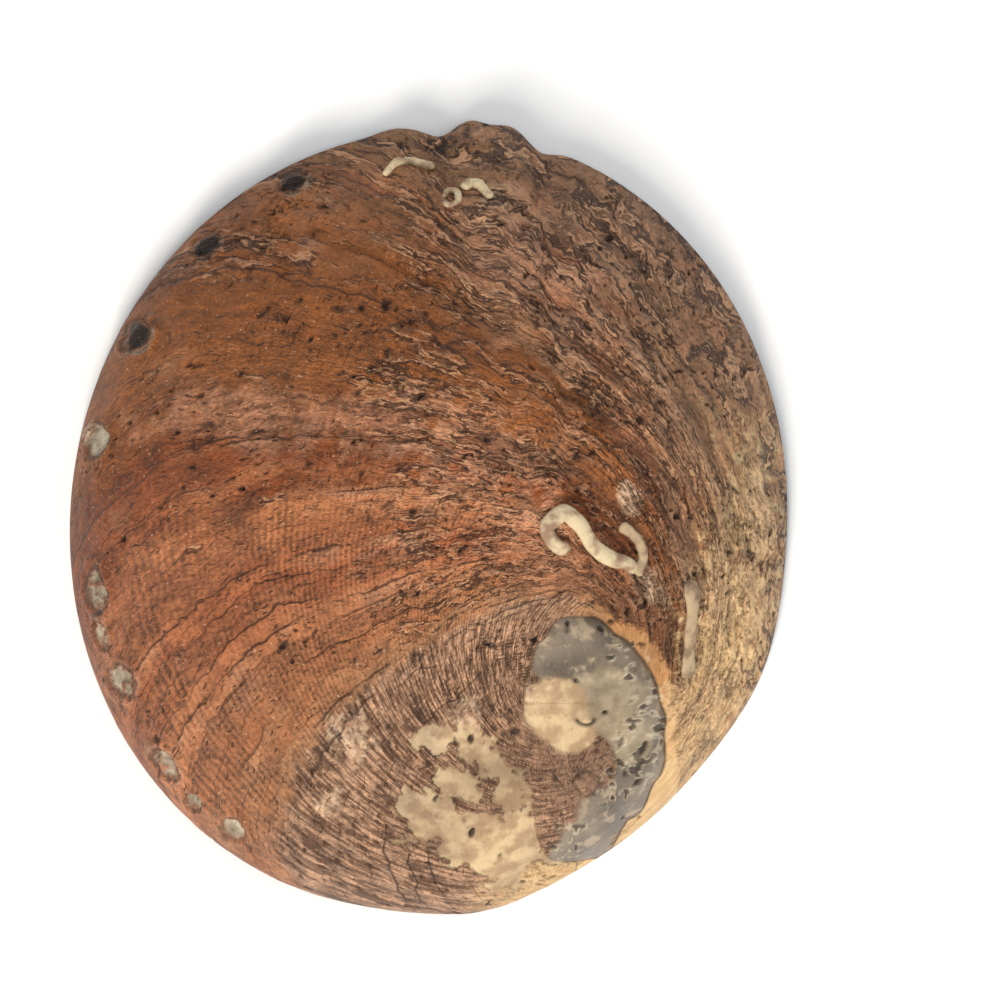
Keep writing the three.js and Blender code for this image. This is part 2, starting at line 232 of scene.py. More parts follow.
@dataclass(frozen=True)
class ShellForm:
    """The shell's form from above and in height, in millimetres, with the origin under its middle."""

    long_radius: float = 85.0
    short_radius: float = 77.5
    long_axis: float = 75.0
    height: float = 50.0
    crown: tuple[float, float] = (-2.0, -12.0)
    apex: tuple[float, float] = (34.3, -38.1)
    centring: tuple[float, float] = (-0.02, -0.45)
    crown_thickness: float = 3.6
    wall_inset: float = 3.3
    lip_width: float = 2.4
    shelf_width: float = 7.6
    shelf_middle: float = 225.0
    shelf_half_span: float = 72.0
    rounding: float = 0.9
    lip_lift: float = 1.5
    side_angles: tuple[float, ...] = (0, 90, 180, 270)
    side_powers: tuple[float, ...] = (2.3, 2.15, 3.2, 2.8)
    side_roots: tuple[float, ...] = (0.68, 0.72, 0.6, 0.58)
    scallops: tuple[Wave, ...] = (
        Wave(95, 1.0, 3.2),
        Wave(88.3, -1.5, 2.4),
        Wave(83.6, 2.3, 2.9),
        Wave(78.4, 2.3, 2.9),
        Wave(72.7, -1.4, 2.4),
        Wave(278, 1.6, 10),
        Wave(335, 1.6, 13),
    )
    seam_angles: tuple[float, ...] = (-86, -70, -50, -19, 4, 38, 67, 89, 109, 129, 152, 185, 212, 238, 258)
    seam_radii: tuple[float, ...] = (
        34.5, 27.3, 22.4, 16.8, 14.4, 14.1, 15.1, 17.9, 18.6, 16.5, 14.5, 14, 16, 25, 35,
    )
    seam_depths: tuple[float, ...] = (
        0.36, 0.3, 0.2, 0.13, 0.1, 0.075, 0.06, 0.045, 0.025, 0.01, 0, 0, 0, 0, 0.1,
    )
    seam_reach_out: float = 8.0
    seam_reach_in: float = 1.5
    bowl_reach_in: float = 5.5
    knob: tuple[float, float] = (35.2, -33.1)
    knob_radius: float = 14.0
    knob_rise: float = 1.9
    old_edges: tuple[Wave, ...] = (
        Wave(0.17, 0.9, 0.05),
        Wave(0.47, -1.1, 0.04),
        Wave(0.72, 0.8, 0.09),
        Wave(1.07, -0.9, 0.06),
        Wave(1.42, 0.6, 0.1),
        Wave(1.63, -0.6, 0.06),
        Wave(1.98, 1.1, 0.08),
    )
    late_bend: float = 0.14
    edge_start: float = 106.0
    sweep_most: float = 48.0
    sweep_age: float = 0.85
    growth_rate: float = 0.73
    early_growth: float = 0.285
    early_age: float = 0.25
    cord_slope: float = 0.53
    pore_rim_rise: float = 1.1
    pore_rim_spread: float = 4.4
    keel_rise: float = 1.3
    keel_spread: float = 4.5
    fold_share: float = 0.45
    front_folds: int = 5
    pores: tuple[Pore, ...] = (
        Pore(-41.0, -65.6, 5.6, 3.6, False),
        Pore(-49.6, -59.6, 3.6, 3.0, False),
        Pore(-55.4, -51.6, 6.0, 4.0, False),
        Pore(-64.6, -34.2, 6.0, 5.0, False),
        Pore(-69.0, -24.4, 4.6, 2.4, False),
        Pore(-70.4, -14.4, 7.2, 4.2, False),
        Pore(-70.4, 16.8, 6.0, 4.2, False),
        Pore(-61.8, 39.0, 6.2, 4.8, True),
        Pore(-47.1, 58.6, 5.6, 4.2, True),
        Pore(-28.8, 72.0, 5.2, 3.8, True),
    )

    def round_table(self, angles: tuple[float, ...], values: tuple[float, ...], angle: Array) -> Array:
        """Reads a value that runs smoothly round a full turn.

        Args:
            angles: The angles at which the value is known, rising, in degrees.
            values: The value at each of them.
            angle: The angles asked for.

        Returns:
            The value at each angle asked for.
        """
        known = np.array(angles + (angles[0] + 360,), float)
        level = np.array(values + (values[0],), float)
        wrapped = np.mod(angle - known[0], 360) + known[0]
        place = np.clip(np.searchsorted(known, wrapped, side="right") - 1, 0, len(angles) - 1)
        along = (wrapped - known[place]) / (known[place + 1] - known[place])
        return level[place] + (level[place + 1] - level[place]) * smooth(along)

    def rim_radius(self, angle: Array) -> Array:
        """Gives the distance from the origin to the rim.

        Args:
            angle: Directions from the origin, in degrees.

        Returns:
            The distance in each direction.
        """
        turned = (angle - self.long_axis) * RAD
        oval = 1 / np.hypot(np.cos(turned) / self.long_radius, np.sin(turned) / self.short_radius)
        lean = -0.8 + 0.6 * np.cos(2 * (angle - 130) * RAD)
        return oval + lean + sum(w.rise * bell(turn_between(angle, w.at), w.spread) for w in self.scallops)

    def reach(self, middle: tuple[float, float], dx: Array, dy: Array, inset: float = 0.0) -> Array:
        """Gives the distance from a point to the rim along some directions.

        Args:
            middle: The point that the directions start from.
            dx: The directions' first part.
            dy: Their second part.
            inset: How far inside the rim to stop.

        Returns:
            The distance along each direction.
        """
        length = np.hypot(dx, dy) + 1e-9
        low, high = np.full_like(length, 25.0), np.full_like(length, 153.0)
        for _ in range(17):
            half = (low + high) / 2
            px, py = middle[0] + dx / length * half, middle[1] + dy / length * half
            outside = np.hypot(px, py) > self.rim_radius(degrees(py, px)) - inset
            low, high = np.where(outside, low, half), np.where(outside, half, high)
        return (low + high) / 2

    def crown_share(self, x: Array, y: Array, inset: float = 0.0) -> Array:
        """Returns how far points are from the crown, with 1 at the rim."""
        dx, dy = x - self.crown[0], y - self.crown[1]
        return np.hypot(dx, dy) / self.reach(self.crown, dx, dy, inset)

    def dome(self, x: Array, y: Array, height: float, inset: float = 0.0) -> Array:
        """Gives the plain dome's height.

        Args:
            x: The points' places along X.
            y: Their places along Y.
            height: The height at the crown.
            inset: How far inside the rim the dome comes down to nothing.

        Returns:
            The height at each point.
        """
        share = np.minimum(1.0, self.crown_share(x, y, inset))
        side = degrees(y - self.crown[1], x - self.crown[0])
        power = self.round_table(self.side_angles, self.side_powers, side)
        root = self.round_table(self.side_angles, self.side_roots, side)
        return height * (1 - share**power) ** root

    def seam_gap(self, x: Array, y: Array) -> Array:
        """Returns how far points lie outside the seam round the spire, or inside it where negative."""
        dx, dy = x - self.apex[0], y - self.apex[1]
        return np.hypot(dx, dy) - self.round_table(self.seam_angles, self.seam_radii, degrees(dy, dx))

    def seam_dip(self, x: Array, y: Array, reach_in: float) -> Array:
        """Gives how much the seam lowers the surface.

        Args:
            x: The points' places along X.
            y: Their places along Y.
            reach_in: How far the dip spreads over the spire.

        Returns:
            The share of the height that is lost at each point.
        """
        beyond = self.seam_gap(x, y)
        angle = degrees(y - self.apex[1], x - self.apex[0])
        depth = self.round_table(self.seam_angles, self.seam_depths, angle)
        outer = np.exp(-((np.maximum(beyond, 0) / self.seam_reach_out) ** 1.3))
        return depth * np.where(beyond > 0, outer, np.exp(np.minimum(beyond, 0) / reach_in))

    def knob_swell(self, x: Array, y: Array) -> Array:
        """Returns how high the worn spire stands over the dome."""
        away = np.hypot(x - self.knob[0], y - self.knob[1]) / self.knob_radius
        return self.knob_rise * np.exp(-(away**4))

    def growth(self, x: Array, y: Array) -> tuple[Array, Array]:
        """Gives the two coordinates that the shell grew along.

        Args:
            x: The points' places along X.
            y: Their places along Y.

        Returns:
            The age of the layer at each point, in radians of turn since the present edge, and the
            number that stays the same along a spiral cord.
        """
        dx, dy = x - self.apex[0], y - self.apex[1]
        angle, radius = degrees(dy, dx), np.hypot(dx, dy) + 1e-6
        turned = np.where((angle < -94) | (self.seam_gap(x, y) < 0), angle + 360, angle)
        wanted = -np.log(np.minimum(0.9999, radius / self.reach(self.apex, dx, dy)))
        low = np.maximum(0, (turned - self.edge_start) * RAD)
        high = np.full_like(low, 9.0)
        for _ in range(20):
            age = (low + high) / 2
            plateau = self.growth_rate * age + self.early_growth * (1 - np.exp(-age / self.early_age))
            sweep = np.maximum(self.sweep_most * (1 - np.exp(-age / self.sweep_age)), 1e-6)
            behind = np.maximum(0, self.edge_start + age / RAD - turned) / sweep
            short = plateau * (1 - np.exp(-0.693 * behind**1.8)) < wanted
            low, high = np.where(short, age, low), np.where(short, high, age)
        age = (low + high) / 2
        bend = self.late_bend * smooth((104 - angle) / 34) * (1 - smooth((age - 0.2) / 0.25))
        return age - bend, np.log(radius) + self.cord_slope * turned * RAD

    def pore_row(self, x: Array, y: Array) -> Array:
        """Gives the rise of the keel and of the rims round the pores.

        Args:
            x: The points' places along X.
            y: Their places along Y.

        Returns:
            The rise at each point.
        """
        rims = sum(bell(np.hypot(x - p.x, y - p.y), self.pore_rim_spread) for p in self.pores)
        nearest = np.full_like(x, 1e9)
        for a, b in zip(self.pores, self.pores[1:]):
            dx, dy = b.x - a.x, b.y - a.y
            along = clamp01(((x - a.x) * dx + (y - a.y) * dy) / (dx * dx + dy * dy))
            nearest = np.minimum(nearest, np.hypot(x - a.x - along * dx, y - a.y - along * dy))
        fade = smooth((1 - self.crown_share(x, y)) / 0.03)
        return (self.pore_rim_rise * rims + self.keel_rise * bell(nearest, self.keel_spread)) * fade

    def relief(self, x: Array, y: Array) -> Array:
        """Gives the swells that old edges leave and the folds behind the front edge.

        Args:
            x: The points' places along X.
            y: Their places along Y.

        Returns:
            The rise at each point.
        """
        age, _ = self.growth(x, y)
        share = self.crown_share(x, y)
        off_spire = smooth((np.hypot(x - self.apex[0], y - self.apex[1]) - 18) / 22)
        swell = sum(e.rise * bell(age - e.at, e.spread) for e in self.old_edges)
        swell = swell * off_spire * smooth((1 - share) / 0.1)
        angle = degrees(y, x)
        front = self.scallops[: self.front_folds]
        fold = sum(w.rise * bell(turn_between(angle, w.at), w.spread * 1.3) for w in front)
        return swell + self.fold_share * fold * bell(1 - share, 0.22) * smooth((1 - share) / 0.05)

    def lift(self, angle: Array) -> Array:
        """Returns how far the rim arches off the table, by direction from the origin."""
        off_shelf = smooth((np.abs(turn_between(angle, self.shelf_middle)) - self.shelf_half_span) / 25)
        return self.lip_lift * off_shelf * np.sin(1.5 * turn_between(angle, 60) * RAD) ** 2

    def rim_width(self, angle: Array) -> Array:
        """Returns the width of the rim's underside, by direction from the origin."""
        away = np.abs(turn_between(angle, self.shelf_middle)) - self.shelf_half_span + 12
        return self.shelf_width + (self.lip_width - self.shelf_width) * smooth(away / 45)

    def outer(self, x: Array, y: Array) -> Array:
        """Gives the height of the outside, without its fine relief.

        Args:
            x: The points' places along X.
            y: Their places along Y.

        Returns:
            The height at each point.
        """
        base = self.dome(x, y, self.height) * (1 - self.seam_dip(x, y, self.seam_reach_in))
        high = base + self.knob_swell(x, y) + self.relief(x, y) + self.pore_row(x, y)
        edge = self.lift(degrees(y, x)) * clamp01(self.crown_share(x, y)) ** 8
        return np.hypot(high, self.rounding) + edge

    def inner(self, x: Array, y: Array) -> Array:
        """Gives the height of the inside, without its fine relief.

        Args:
            x: The points' places along X.
            y: Their places along Y.

        Returns:
            The height at each point.
        """
        base = self.dome(x, y, self.height - self.crown_thickness, self.wall_inset)
        return base * (1 - 1.08 * self.seam_dip(x, y, self.bowl_reach_in)) + 0.6 * self.knob_swell(x, y)


@dataclass(frozen=True)
class Skin:
    """The fine relief and the regions of the outside. Spots are seen from above, in millimetres."""

    form: ShellForm
    noise: Noise = field(default_factory=lambda: Noise(SEED))
    cord_step: float = 0.0205
    ledges: tuple[Wave, ...] = (
        Wave(0.025, 0.5, 0.9),
        Wave(0.095, 0.35, 0.8),
        Wave(0.14, 0.55, 0.9),
        Wave(0.25, 0.25, 0.6),
        Wave(0.36, 0.3, 0.7),
        Wave(0.48, 0.7, 1.0),
        Wave(0.59, 0.3, 0.6),
        Wave(0.7, 0.55, 0.9),
        Wave(0.84, 0.3, 0.6),
        Wave(0.96, 0.3, 0.6),
        Wave(1.08, 0.5, 0.9),
        Wave(1.18, 0.3, 0.6),
        Wave(1.26, 0.6, 1.0),
        Wave(1.31, 0.4, 0.8),
        Wave(1.44, 0.55, 0.9),
        Wave(1.54, 0.3, 0.5),
        Wave(1.63, 0.5, 0.9),
        Wave(1.68, 0.35, 0.7),
        Wave(1.82, 0.4, 0.6),
        Wave(1.93, 0.6, 0.9),
        Wave(2.0, 0.5, 0.8),
    )
    cream: tuple[Spot, ...] = (
        Spot(1.9, -46.0, 7.5, 6.5),
        Spot(8.8, -46.6, 4.8, 9.5, 8),
        Spot(13.6, -51.0, 6.5, 10.0, 20),
        Spot(17.4, -57.0, 8.5, 11.0),
        Spot(7.5, -56.0, 13.0, 7.0, -35),
        Spot(0.5, -62.0, 14.0, 10.5, -12),
        Spot(8.0, -66.5, 14.0, 11.0, -30),
        Spot(17.5, -68.0, 19.0, 16.5, 20),
    )
    grey: tuple[Spot, ...] = (
        Spot(34.5, -27.0, 29, 20, -6),
        Spot(47.0, -37.0, 9, 30, 4),
        Spot(44.5, -54.0, 9, 26, -22),
        Spot(36.0, -65.5, 12, 26, -38),
    )
    pale: tuple[Spot, ...] = (
        Spot(37.5, -38.0, 16, 14, 20),
        Spot(43.0, -45.5, 9, 11, -10),
    )
    knob_cream: tuple[Spot, ...] = (
        Spot(27.0, -39.5, 14.5, 14.0),
        Spot(30.0, -44.0, 12.0, 10.0, -20),
    )
    pink: tuple[Spot, ...] = (
        Spot(33.5, -55.0, 15, 13),
        Spot(30.0, -50.0, 14, 8, 20),
        Spot(36.0, -62.5, 10, 16, -40),
    )
    pitted: tuple[Spot, ...] = (
        Spot(42.5, -29.5, 10, 8, -30),
        Spot(45.5, -45.0, 9, 22, -8),
        Spot(41.0, -54.5, 10, 12, -20),
        Spot(30.0, -67.0, 7, 9, -30),
    )
    crust: tuple[Spot, ...] = (
        Spot(-15.5, -46.0, 7, 11, 20),
        Spot(-20.0, -60.0, 5, 6, 10),
        Spot(9.0, -39.5, 7, 4, 10),
        Spot(42.5, 5.0, 4, 9, 20),
        Spot(47.0, -14.0, 4, 9, 30),
        Spot(14.0, 67.5, 5, 4, 10),
        Spot(21.6, -36.0, 2.2, 5, 6),
        Spot(-71.0, 17.0, 5, 9, 10),
    )
    holes: tuple[Spot, ...] = (
        Spot(-63.7, -3.7, 1.1, 1.7),
        Spot(-38.4, 6.8, 1.4, 1.0),
        Spot(-38.8, 31.0, 1.6, 0.8, 30),
        Spot(-15.0, 30.0, 1.4, 0.9),
        Spot(22.0, 32.0, 1.8, 1.0, -40),
        Spot(37.6, -40.2, 1.5, 1.0),
        Spot(31.4, -33.4, 0.9, 0.8),
        Spot(46.0, -48.0, 1.2, 3.0, -20),
        Spot(44.5, -55.5, 2.4, 1.2, 40),
        Spot(29.5, -21.2, 1.0, 1.2, 0),
        Spot(36.6, -22.4, 1.6, 1.0, -40),
        Spot(22.6, -25.0, 1.6, 1.2, 20),
        Spot(9.4, -45.6, 1.1, 1.6, 0),
        Spot(9.6, -65.8, 1.0, 1.8, -20),
        Spot(20.6, -77.0, 1.2, 0.8, 0),
    )
    # Lighter and darker patches fitted over the outside: partly the shell's own tone, partly painted shade
    # that darkens the steep left flank and the front right edge.
    tones_and_shade: tuple[ToneAndShade, ...] = (
        ToneAndShade(9, -18, 19, 0.38),
        ToneAndShade(-70, -26, 24, -0.2),
        ToneAndShade(-47, 41, 30, -0.1),
        ToneAndShade(-21, -56, 28, -0.06),
        ToneAndShade(-9, -24, 12, 0.12),
        ToneAndShade(43, -39, 9, -0.14),
        ToneAndShade(3, 29, 13, -0.14),
        ToneAndShade(62, 22, 12, 0.12),
        ToneAndShade(45, 60, 17, -0.12),
        ToneAndShade(58, 34, 10, -0.12),
        ToneAndShade(62, -30, 16, 0.2),
        ToneAndShade(-30, 15, 16, -0.12),
        ToneAndShade(-24, -70, 13, -0.12),
        ToneAndShade(36, 3, 14, 0.3),
        ToneAndShade(17, 14, 15, 0.42),
        ToneAndShade(27, -9, 14, 0.2),
        ToneAndShade(13, -14, 12, 0.1),
        ToneAndShade(-25, 66, 18, 0.22),
        ToneAndShade(-20, 3, 9, 0.12),
    )
    flaky: tuple[Spot, ...] = (
        Spot(63.0, -24.0, 17, 36, -6),
        Spot(69.0, 4.0, 8, 26, 4),
        Spot(56.0, -42.0, 14, 20, -34),
    )
    rust: tuple[Spot, ...] = (
        Spot(22.0, 53.0, 36, 17, -32),
        Spot(36.0, 36.0, 26, 9, -48),
        Spot(45.5, 12.0, 30, 5, -66),
    )
    tan: tuple[Spot, ...] = (
        Spot(9.0, 15.5, 36, 17, -14),
        Spot(24.0, -5.0, 20, 12, -30),
        Spot(-8.0, 21.5, 26, 8, 0),
        Spot(-38.0, 21.5, 42, 8, 4),
    )
    crescent: Spot = Spot(33.4, -41.6, 4.4, 2.9, -12)
    faint_ring: Spot = Spot(33.5, -55.3, 5.4, 5.0)
    muscle_scar: Spot = Spot(6, -6, 40, 46, 20)
    oldest: float = 1.93
    plain_shade: float = 1.08
    edge_per_age: float = 0.73
    ledge_run: float = 3.2

    def patch(self, spots: tuple[Spot, ...], x: Array, y: Array, ragged: Array, soft: float) -> Array:
        """Gives how far points lie in any of some spots.

        Args:
            spots: The spots.
            x: The points' places along X.
            y: Their places along Y.
            ragged: How much the spots' edges stray at each point.
            soft: How wide the edges are.

        Returns:
            A value from 0 outside the spots to 1 inside.
        """
        inside = np.max([1.0 - s.share(x, y) for s in spots], axis=0)
        return smooth((inside + ragged) / soft + 0.5)

    def regions(self, x: Array, y: Array) -> dict[str, Array]:
        """Gives the masks that say where the outside is worn, crusted, pale or dark.

        Args:
            x: The points' places along X, in millimetres.
            y: Their places along Y.

        Returns:
            A value from 0 to 1 at each point, by the name of the region.
        """
        n = self.noise
        age, cord = self.form.growth(x, y)
        age = age + 0.011 * n.cloud(x / 11, y / 11, 3, 5) + 0.009 * n.cloud(cord * 6, age * 4, 2, 6)
        age = age + 0.009 * n.cloud(x / 2.4, y / 2.4, 3, 7)
        ragged = n.cloud(x / 4.5, y / 4.5, 4, 3)
        torn = n.cloud(cord * 26, age * 22, 3, 9)
        near = np.hypot(x - self.form.apex[0], y - self.form.apex[1])
        gap = self.form.seam_gap(x, y)
        share = self.form.crown_share(x, y)
        angle = degrees(y - self.form.crown[1], x - self.form.crown[0])
        spire = degrees(y - self.form.apex[1], x - self.form.apex[0])
        on_spire = smooth((0.35 - gap) / 0.5)
        right = smooth((share - 0.7 + 0.08 * torn) / 0.14)
        right = right * smooth(1.5 - np.abs(turn_between(angle, -8)) / 34)
        margin = smooth((share - 0.86 + 0.03 * ragged) / 0.06)
        margin = margin * smooth(2.2 - np.abs(turn_between(angle, -54)) / 14)
        flakes = 0.85 * self.patch(self.flaky, x, y, 0.7 * torn + 0.3 * ragged, 0.7)
        wide = 3.1 + 1.6 * smooth(1.5 - np.abs(turn_between(spire, 38)) / 25)
        wide = wide + 4.5 * smooth((-spire - 20) / 40)
        band = smooth((gap + 0.2) / 0.4) * smooth((wide + 0.7 * torn - gap) / 1.2)
        band = band * smooth(2.0 - np.abs(turn_between(spire, 5)) / 58)
        cream = self.patch(self.cream, x, y, 0.5 * ragged + 0.36 * torn + 0.06, 0.14)
        cream = cream * (1 - on_spire * smooth((x - 21) / 3))
        rim_grey = smooth((gap + 4.6 + 1.6 * ragged) / 1.2)
        rim_grey = rim_grey * smooth(1.6 - np.abs(turn_between(spire, -42)) / 32)
        across = np.maximum(smooth((x + 26) / 26), 0.75 * smooth((y - 42) / 14))
        reach = 0.54 + 0.2 * smooth((12 - y) / 20)
        brown = smooth((reach - age + 0.05 * torn) / 0.07 + 0.5) * smooth((x + 4) / 26)
        return {
            "age": age,
            "cord": cord,
            "share": share,
            "near": near,
            "cream": np.maximum(cream, on_spire * self.patch(self.knob_cream, x, y, 0.12 * ragged, 0.25)),
            "grey": on_spire * np.maximum(self.patch(self.grey, x, y, 0.25 * ragged, 0.3), rim_grey),
            "pale": on_spire * self.patch(self.pale, x, y, 0.3 * ragged, 0.4),
            "pink": self.patch(self.pink, x, y, 0.25 * ragged, 0.5) * on_spire,
            "pitted": self.patch(self.pitted, x, y, 0.3 * ragged, 0.6),
            "crust": self.patch(self.crust, x, y, 0.7 * ragged + 0.5 * torn, 0.5),
            "hole": self.patch(self.holes, x, y, 0.35 * ragged, 0.5),
            "olive": clamp01(right),
            "peach": np.maximum(clamp01(margin), flakes) * (1 - on_spire),
            "band": clamp01(band),
            "old": smooth((age - self.oldest + 0.04 * torn) / 0.06),
            "brown": brown,
            "rust": self.patch(self.rust, x, y, 0.8 * torn + 0.5 * ragged, 1.2),
            "tan": self.patch(self.tan, x, y, 0.9 * torn + 0.4 * ragged, 1.1),
            "rugged": (0.15 + 0.85 * across) * smooth((2.1 - age) / 0.3) * (1 - 0.25 * clamp01(right)),
            "rusty": smooth((-30 - x + 5 * ragged) / 18) * bell(age - 1.32, 0.14),
            # Brightness: the plain tone, with the patches' own tone and painted shade.
            "shade": self.plain_shade + sum(tone_patch.share(x, y) for tone_patch in self.tones_and_shade),
        }

    def ledge(self, seen: dict[str, Array]) -> Array:
        """Gives the rise of the old edges, each a low cliff that faces the front.

        Args:
            seen: The regions; the distance to the nearest edge and the strength of the painted shadow line at
                its foot are added to them.

        Returns:
            The rise at each point, in millimetres.
        """
        age, cord, per_age = seen["age"], seen["cord"], self.edge_per_age * seen["near"] + 8
        rise, off, ledge_shade = np.zeros_like(age), np.full_like(age, 9.0), np.zeros_like(age)
        for k, edge in enumerate(self.ledges):
            away = (age - edge.at) * per_age
            broken = self.noise.cloud(cord * 5, np.full_like(cord, k * 3.7), 3, 51)
            clear = smooth(0.4 + 1.8 * broken) * edge.spread
            fall = np.exp(-np.maximum(away, 0) / self.ledge_run)
            rise += edge.rise * clear * smooth(away / 0.35 + 0.5) * fall
            nearer = np.abs(away) < np.abs(off)
            off = np.where(nearer, away, off)
            ledge_shade = np.where(nearer, clear * (1 - smooth(np.abs(away) / 1.4)), ledge_shade)
        seen["off"], seen["ledge_shade"] = off, ledge_shade
        return rise

    def scar_share(self, x: Array, y: Array) -> Array:
        """Returns how far out each point lies from the muscle scar's middle: 1 at its edge."""
        return self.muscle_scar.share(x, y) + 0.12 * self.noise.cloud(x / 6, y / 6, 3, 111)

    def cords(self, x: Array, y: Array, seen: dict[str, Array]) -> Array:
        """Gives the rise of the fine spiral cords, which the growth lines break into beads.

        Args:
            x: The points' places along X.
            y: Their places along Y.
            seen: The regions at the same points.

        Returns:
            The rise at each point, in millimetres.
        """
        n, age, cord = self.noise, seen["age"], seen["cord"]
        mid = np.maximum(smooth((age - 1.12) / 0.16), 0.8 * bell(age - 1.0, 0.06))
        phase = 2 * math.pi * (cord / self.cord_step + 0.45 * n.cloud(age * 3, cord * 9, 2, 41))
        strength = (0.35 + 0.65 * smooth(0.5 + n.cloud(x / 14, y / 14, 2, 47))) * (0.22 + 0.78 * mid)
        strength = strength * smooth((seen["near"] - 14) / 20) * (1 - 0.5 * seen["olive"])
        bead = 0.65 + 0.5 * n.cloud(age * 70, cord * 45, 2, 49)
        return 0.2 * np.cos(phase) * strength * bead

    def gouges(
        self, x: Array, y: Array, seen: dict[str, Array], fine: Array, calm: Array
    ) -> tuple[Array, Array]:
        """Gives the gouges and the short slits that cover the oldest layers.

        Args:
            x: The points' places along X.
            y: Their places along Y.
            seen: The regions at the same points.
            fine: The finest growth lines.
            calm: How far each point is from the apex, from 0 to 1.

        Returns:
            How deep each point lies in a gouge, and in a slit, from 0 to 1.
        """
        n, age, cord, old = self.noise, seen["age"], seen["cord"], seen["old"]
        gouge = smooth((n.cloud(cord * 62, age * 9, 3, 55) - 0.1) / 0.2) * old
        faded = 0.35 + 0.65 * smooth((y + 68) / 26)
        gouge = gouge * faded * smooth(0.75 + 1.3 * n.cloud(x / 7, y / 7, 2, 56))
        slit = smooth(1.6 * n.dots(cord * 36 + 0.3 * fine, age * 22, 57, 1.6)) * old * calm
        return gouge, slit

    def scales(self, x: Array, y: Array, seen: dict[str, Array], grain: Array) -> tuple[Array, Array]:
        """Gives the scales that the weathered layers break into.

        Args:
            x: The points' places along X.
            y: Their places along Y.
            seen: The regions at the same points.
            grain: The finest roughness.

        Returns:
            How high each point lies on a scale, and how deep in a crevice between two.
        """
        n = self.noise
        flake = n.cloud(seen["age"] * 42 + 0.5 * grain, seen["cord"] * 7, 3, 73)
        torn = smooth(0.55 + 1.4 * n.cloud(x / 8, y / 8, 2, 77)) * seen["rugged"]
        scale = (smooth(flake / 0.1) + 0.6 * smooth((flake - 0.35) / 0.1)) * torn
        return scale, bell(flake - 0.05, 0.055) * torn

    def pits(self, x: Array, y: Array, seen: dict[str, Array], calm: Array) -> tuple[Array, Array]:
        """Gives the chips and the round borings.

        Args:
            x: The points' places along X.
            y: Their places along Y.
            seen: The regions at the same points.
            calm: How far each point is from the apex, from 0 to 1.

        Returns:
            How deep each point lies in a chip, and in a boring, from 0 to 1.
        """
        n, age, cord = self.noise, seen["age"], seen["cord"]
        crowd = 0.35 + 0.9 * n.cloud(x / 14, y / 14, 2, 87)
        crowd = smooth(crowd + 0.5 * seen["ledge_shade"] + 0.25 * seen["rugged"])
        stray = 0.35 * n.cloud(x / 1.4, y / 1.4, 2, 89)
        chip = smooth(1.8 * n.dots(age * 34 + stray, cord * 19 + stray, 91, 2.2) * crowd)
        chip = chip * calm * (1 - seen["old"])
        hole = smooth(1.5 * n.dots(x / 3.6 + 0.5 * stray, y / 3.6 + 0.5 * stray, 95, 7.0) * crowd) * calm
        return chip, np.maximum(hole, seen["hole"])

    def healed(
        self, x: Array, y: Array, seen: dict[str, Array], rise: Array, hole: Array, lace: Array
    ) -> tuple[Array, Array]:
        """Shapes the rims of the pores and fills the closed ones.

        Args:
            x: The points' places along X.
            y: Their places along Y.
            seen: The regions at the same points; the fill, the moat round it and white lips, a painted
                highlight on one side of the open pores, are added.
            rise: The rise so far, which is calmer round a pore.
            hole: How deep each point lies in a boring.
            lace: A lace-like pattern that eats into the fill.

        Returns:
            The rise, and the borings with the open pores among them.
        """
        fill, moat = np.zeros_like(x), np.zeros_like(x)
        for pore in self.form.pores:
            away = np.hypot(x - pore.x, y - pore.y)
            rise = rise * (1 - 0.75 * bell(away, 3.4))
            oval = Spot(pore.x, pore.y, pore.wide, pore.long, degrees(pore.y, pore.x))
            reach = oval.share(x, y) + 0.34 * self.noise.cloud(x / 2.6, y / 2.6, 3, 103)
            moat = np.maximum(moat, bell(reach - 1.18, 0.16))
            rise = rise + 0.45 * bell(reach - 1.55, 0.3)
            if pore.is_open:
                hole = np.maximum(hole, smooth((1.0 - reach) / 0.22))
                # Painted highlight: a white lip on the lower right side of each open pore.
                lip = bell(reach - 1.2, 0.2) * smooth((pore.y - y + x - pore.x) / 3)
                seen["white"] = np.maximum(seen["white"], lip)
            else:
                fill = np.maximum(fill, smooth((1.08 - reach) / 0.22) * smooth(0.95 + 0.9 * lace))
        seen["fill"], seen["moat"] = fill, moat
        return rise, hole

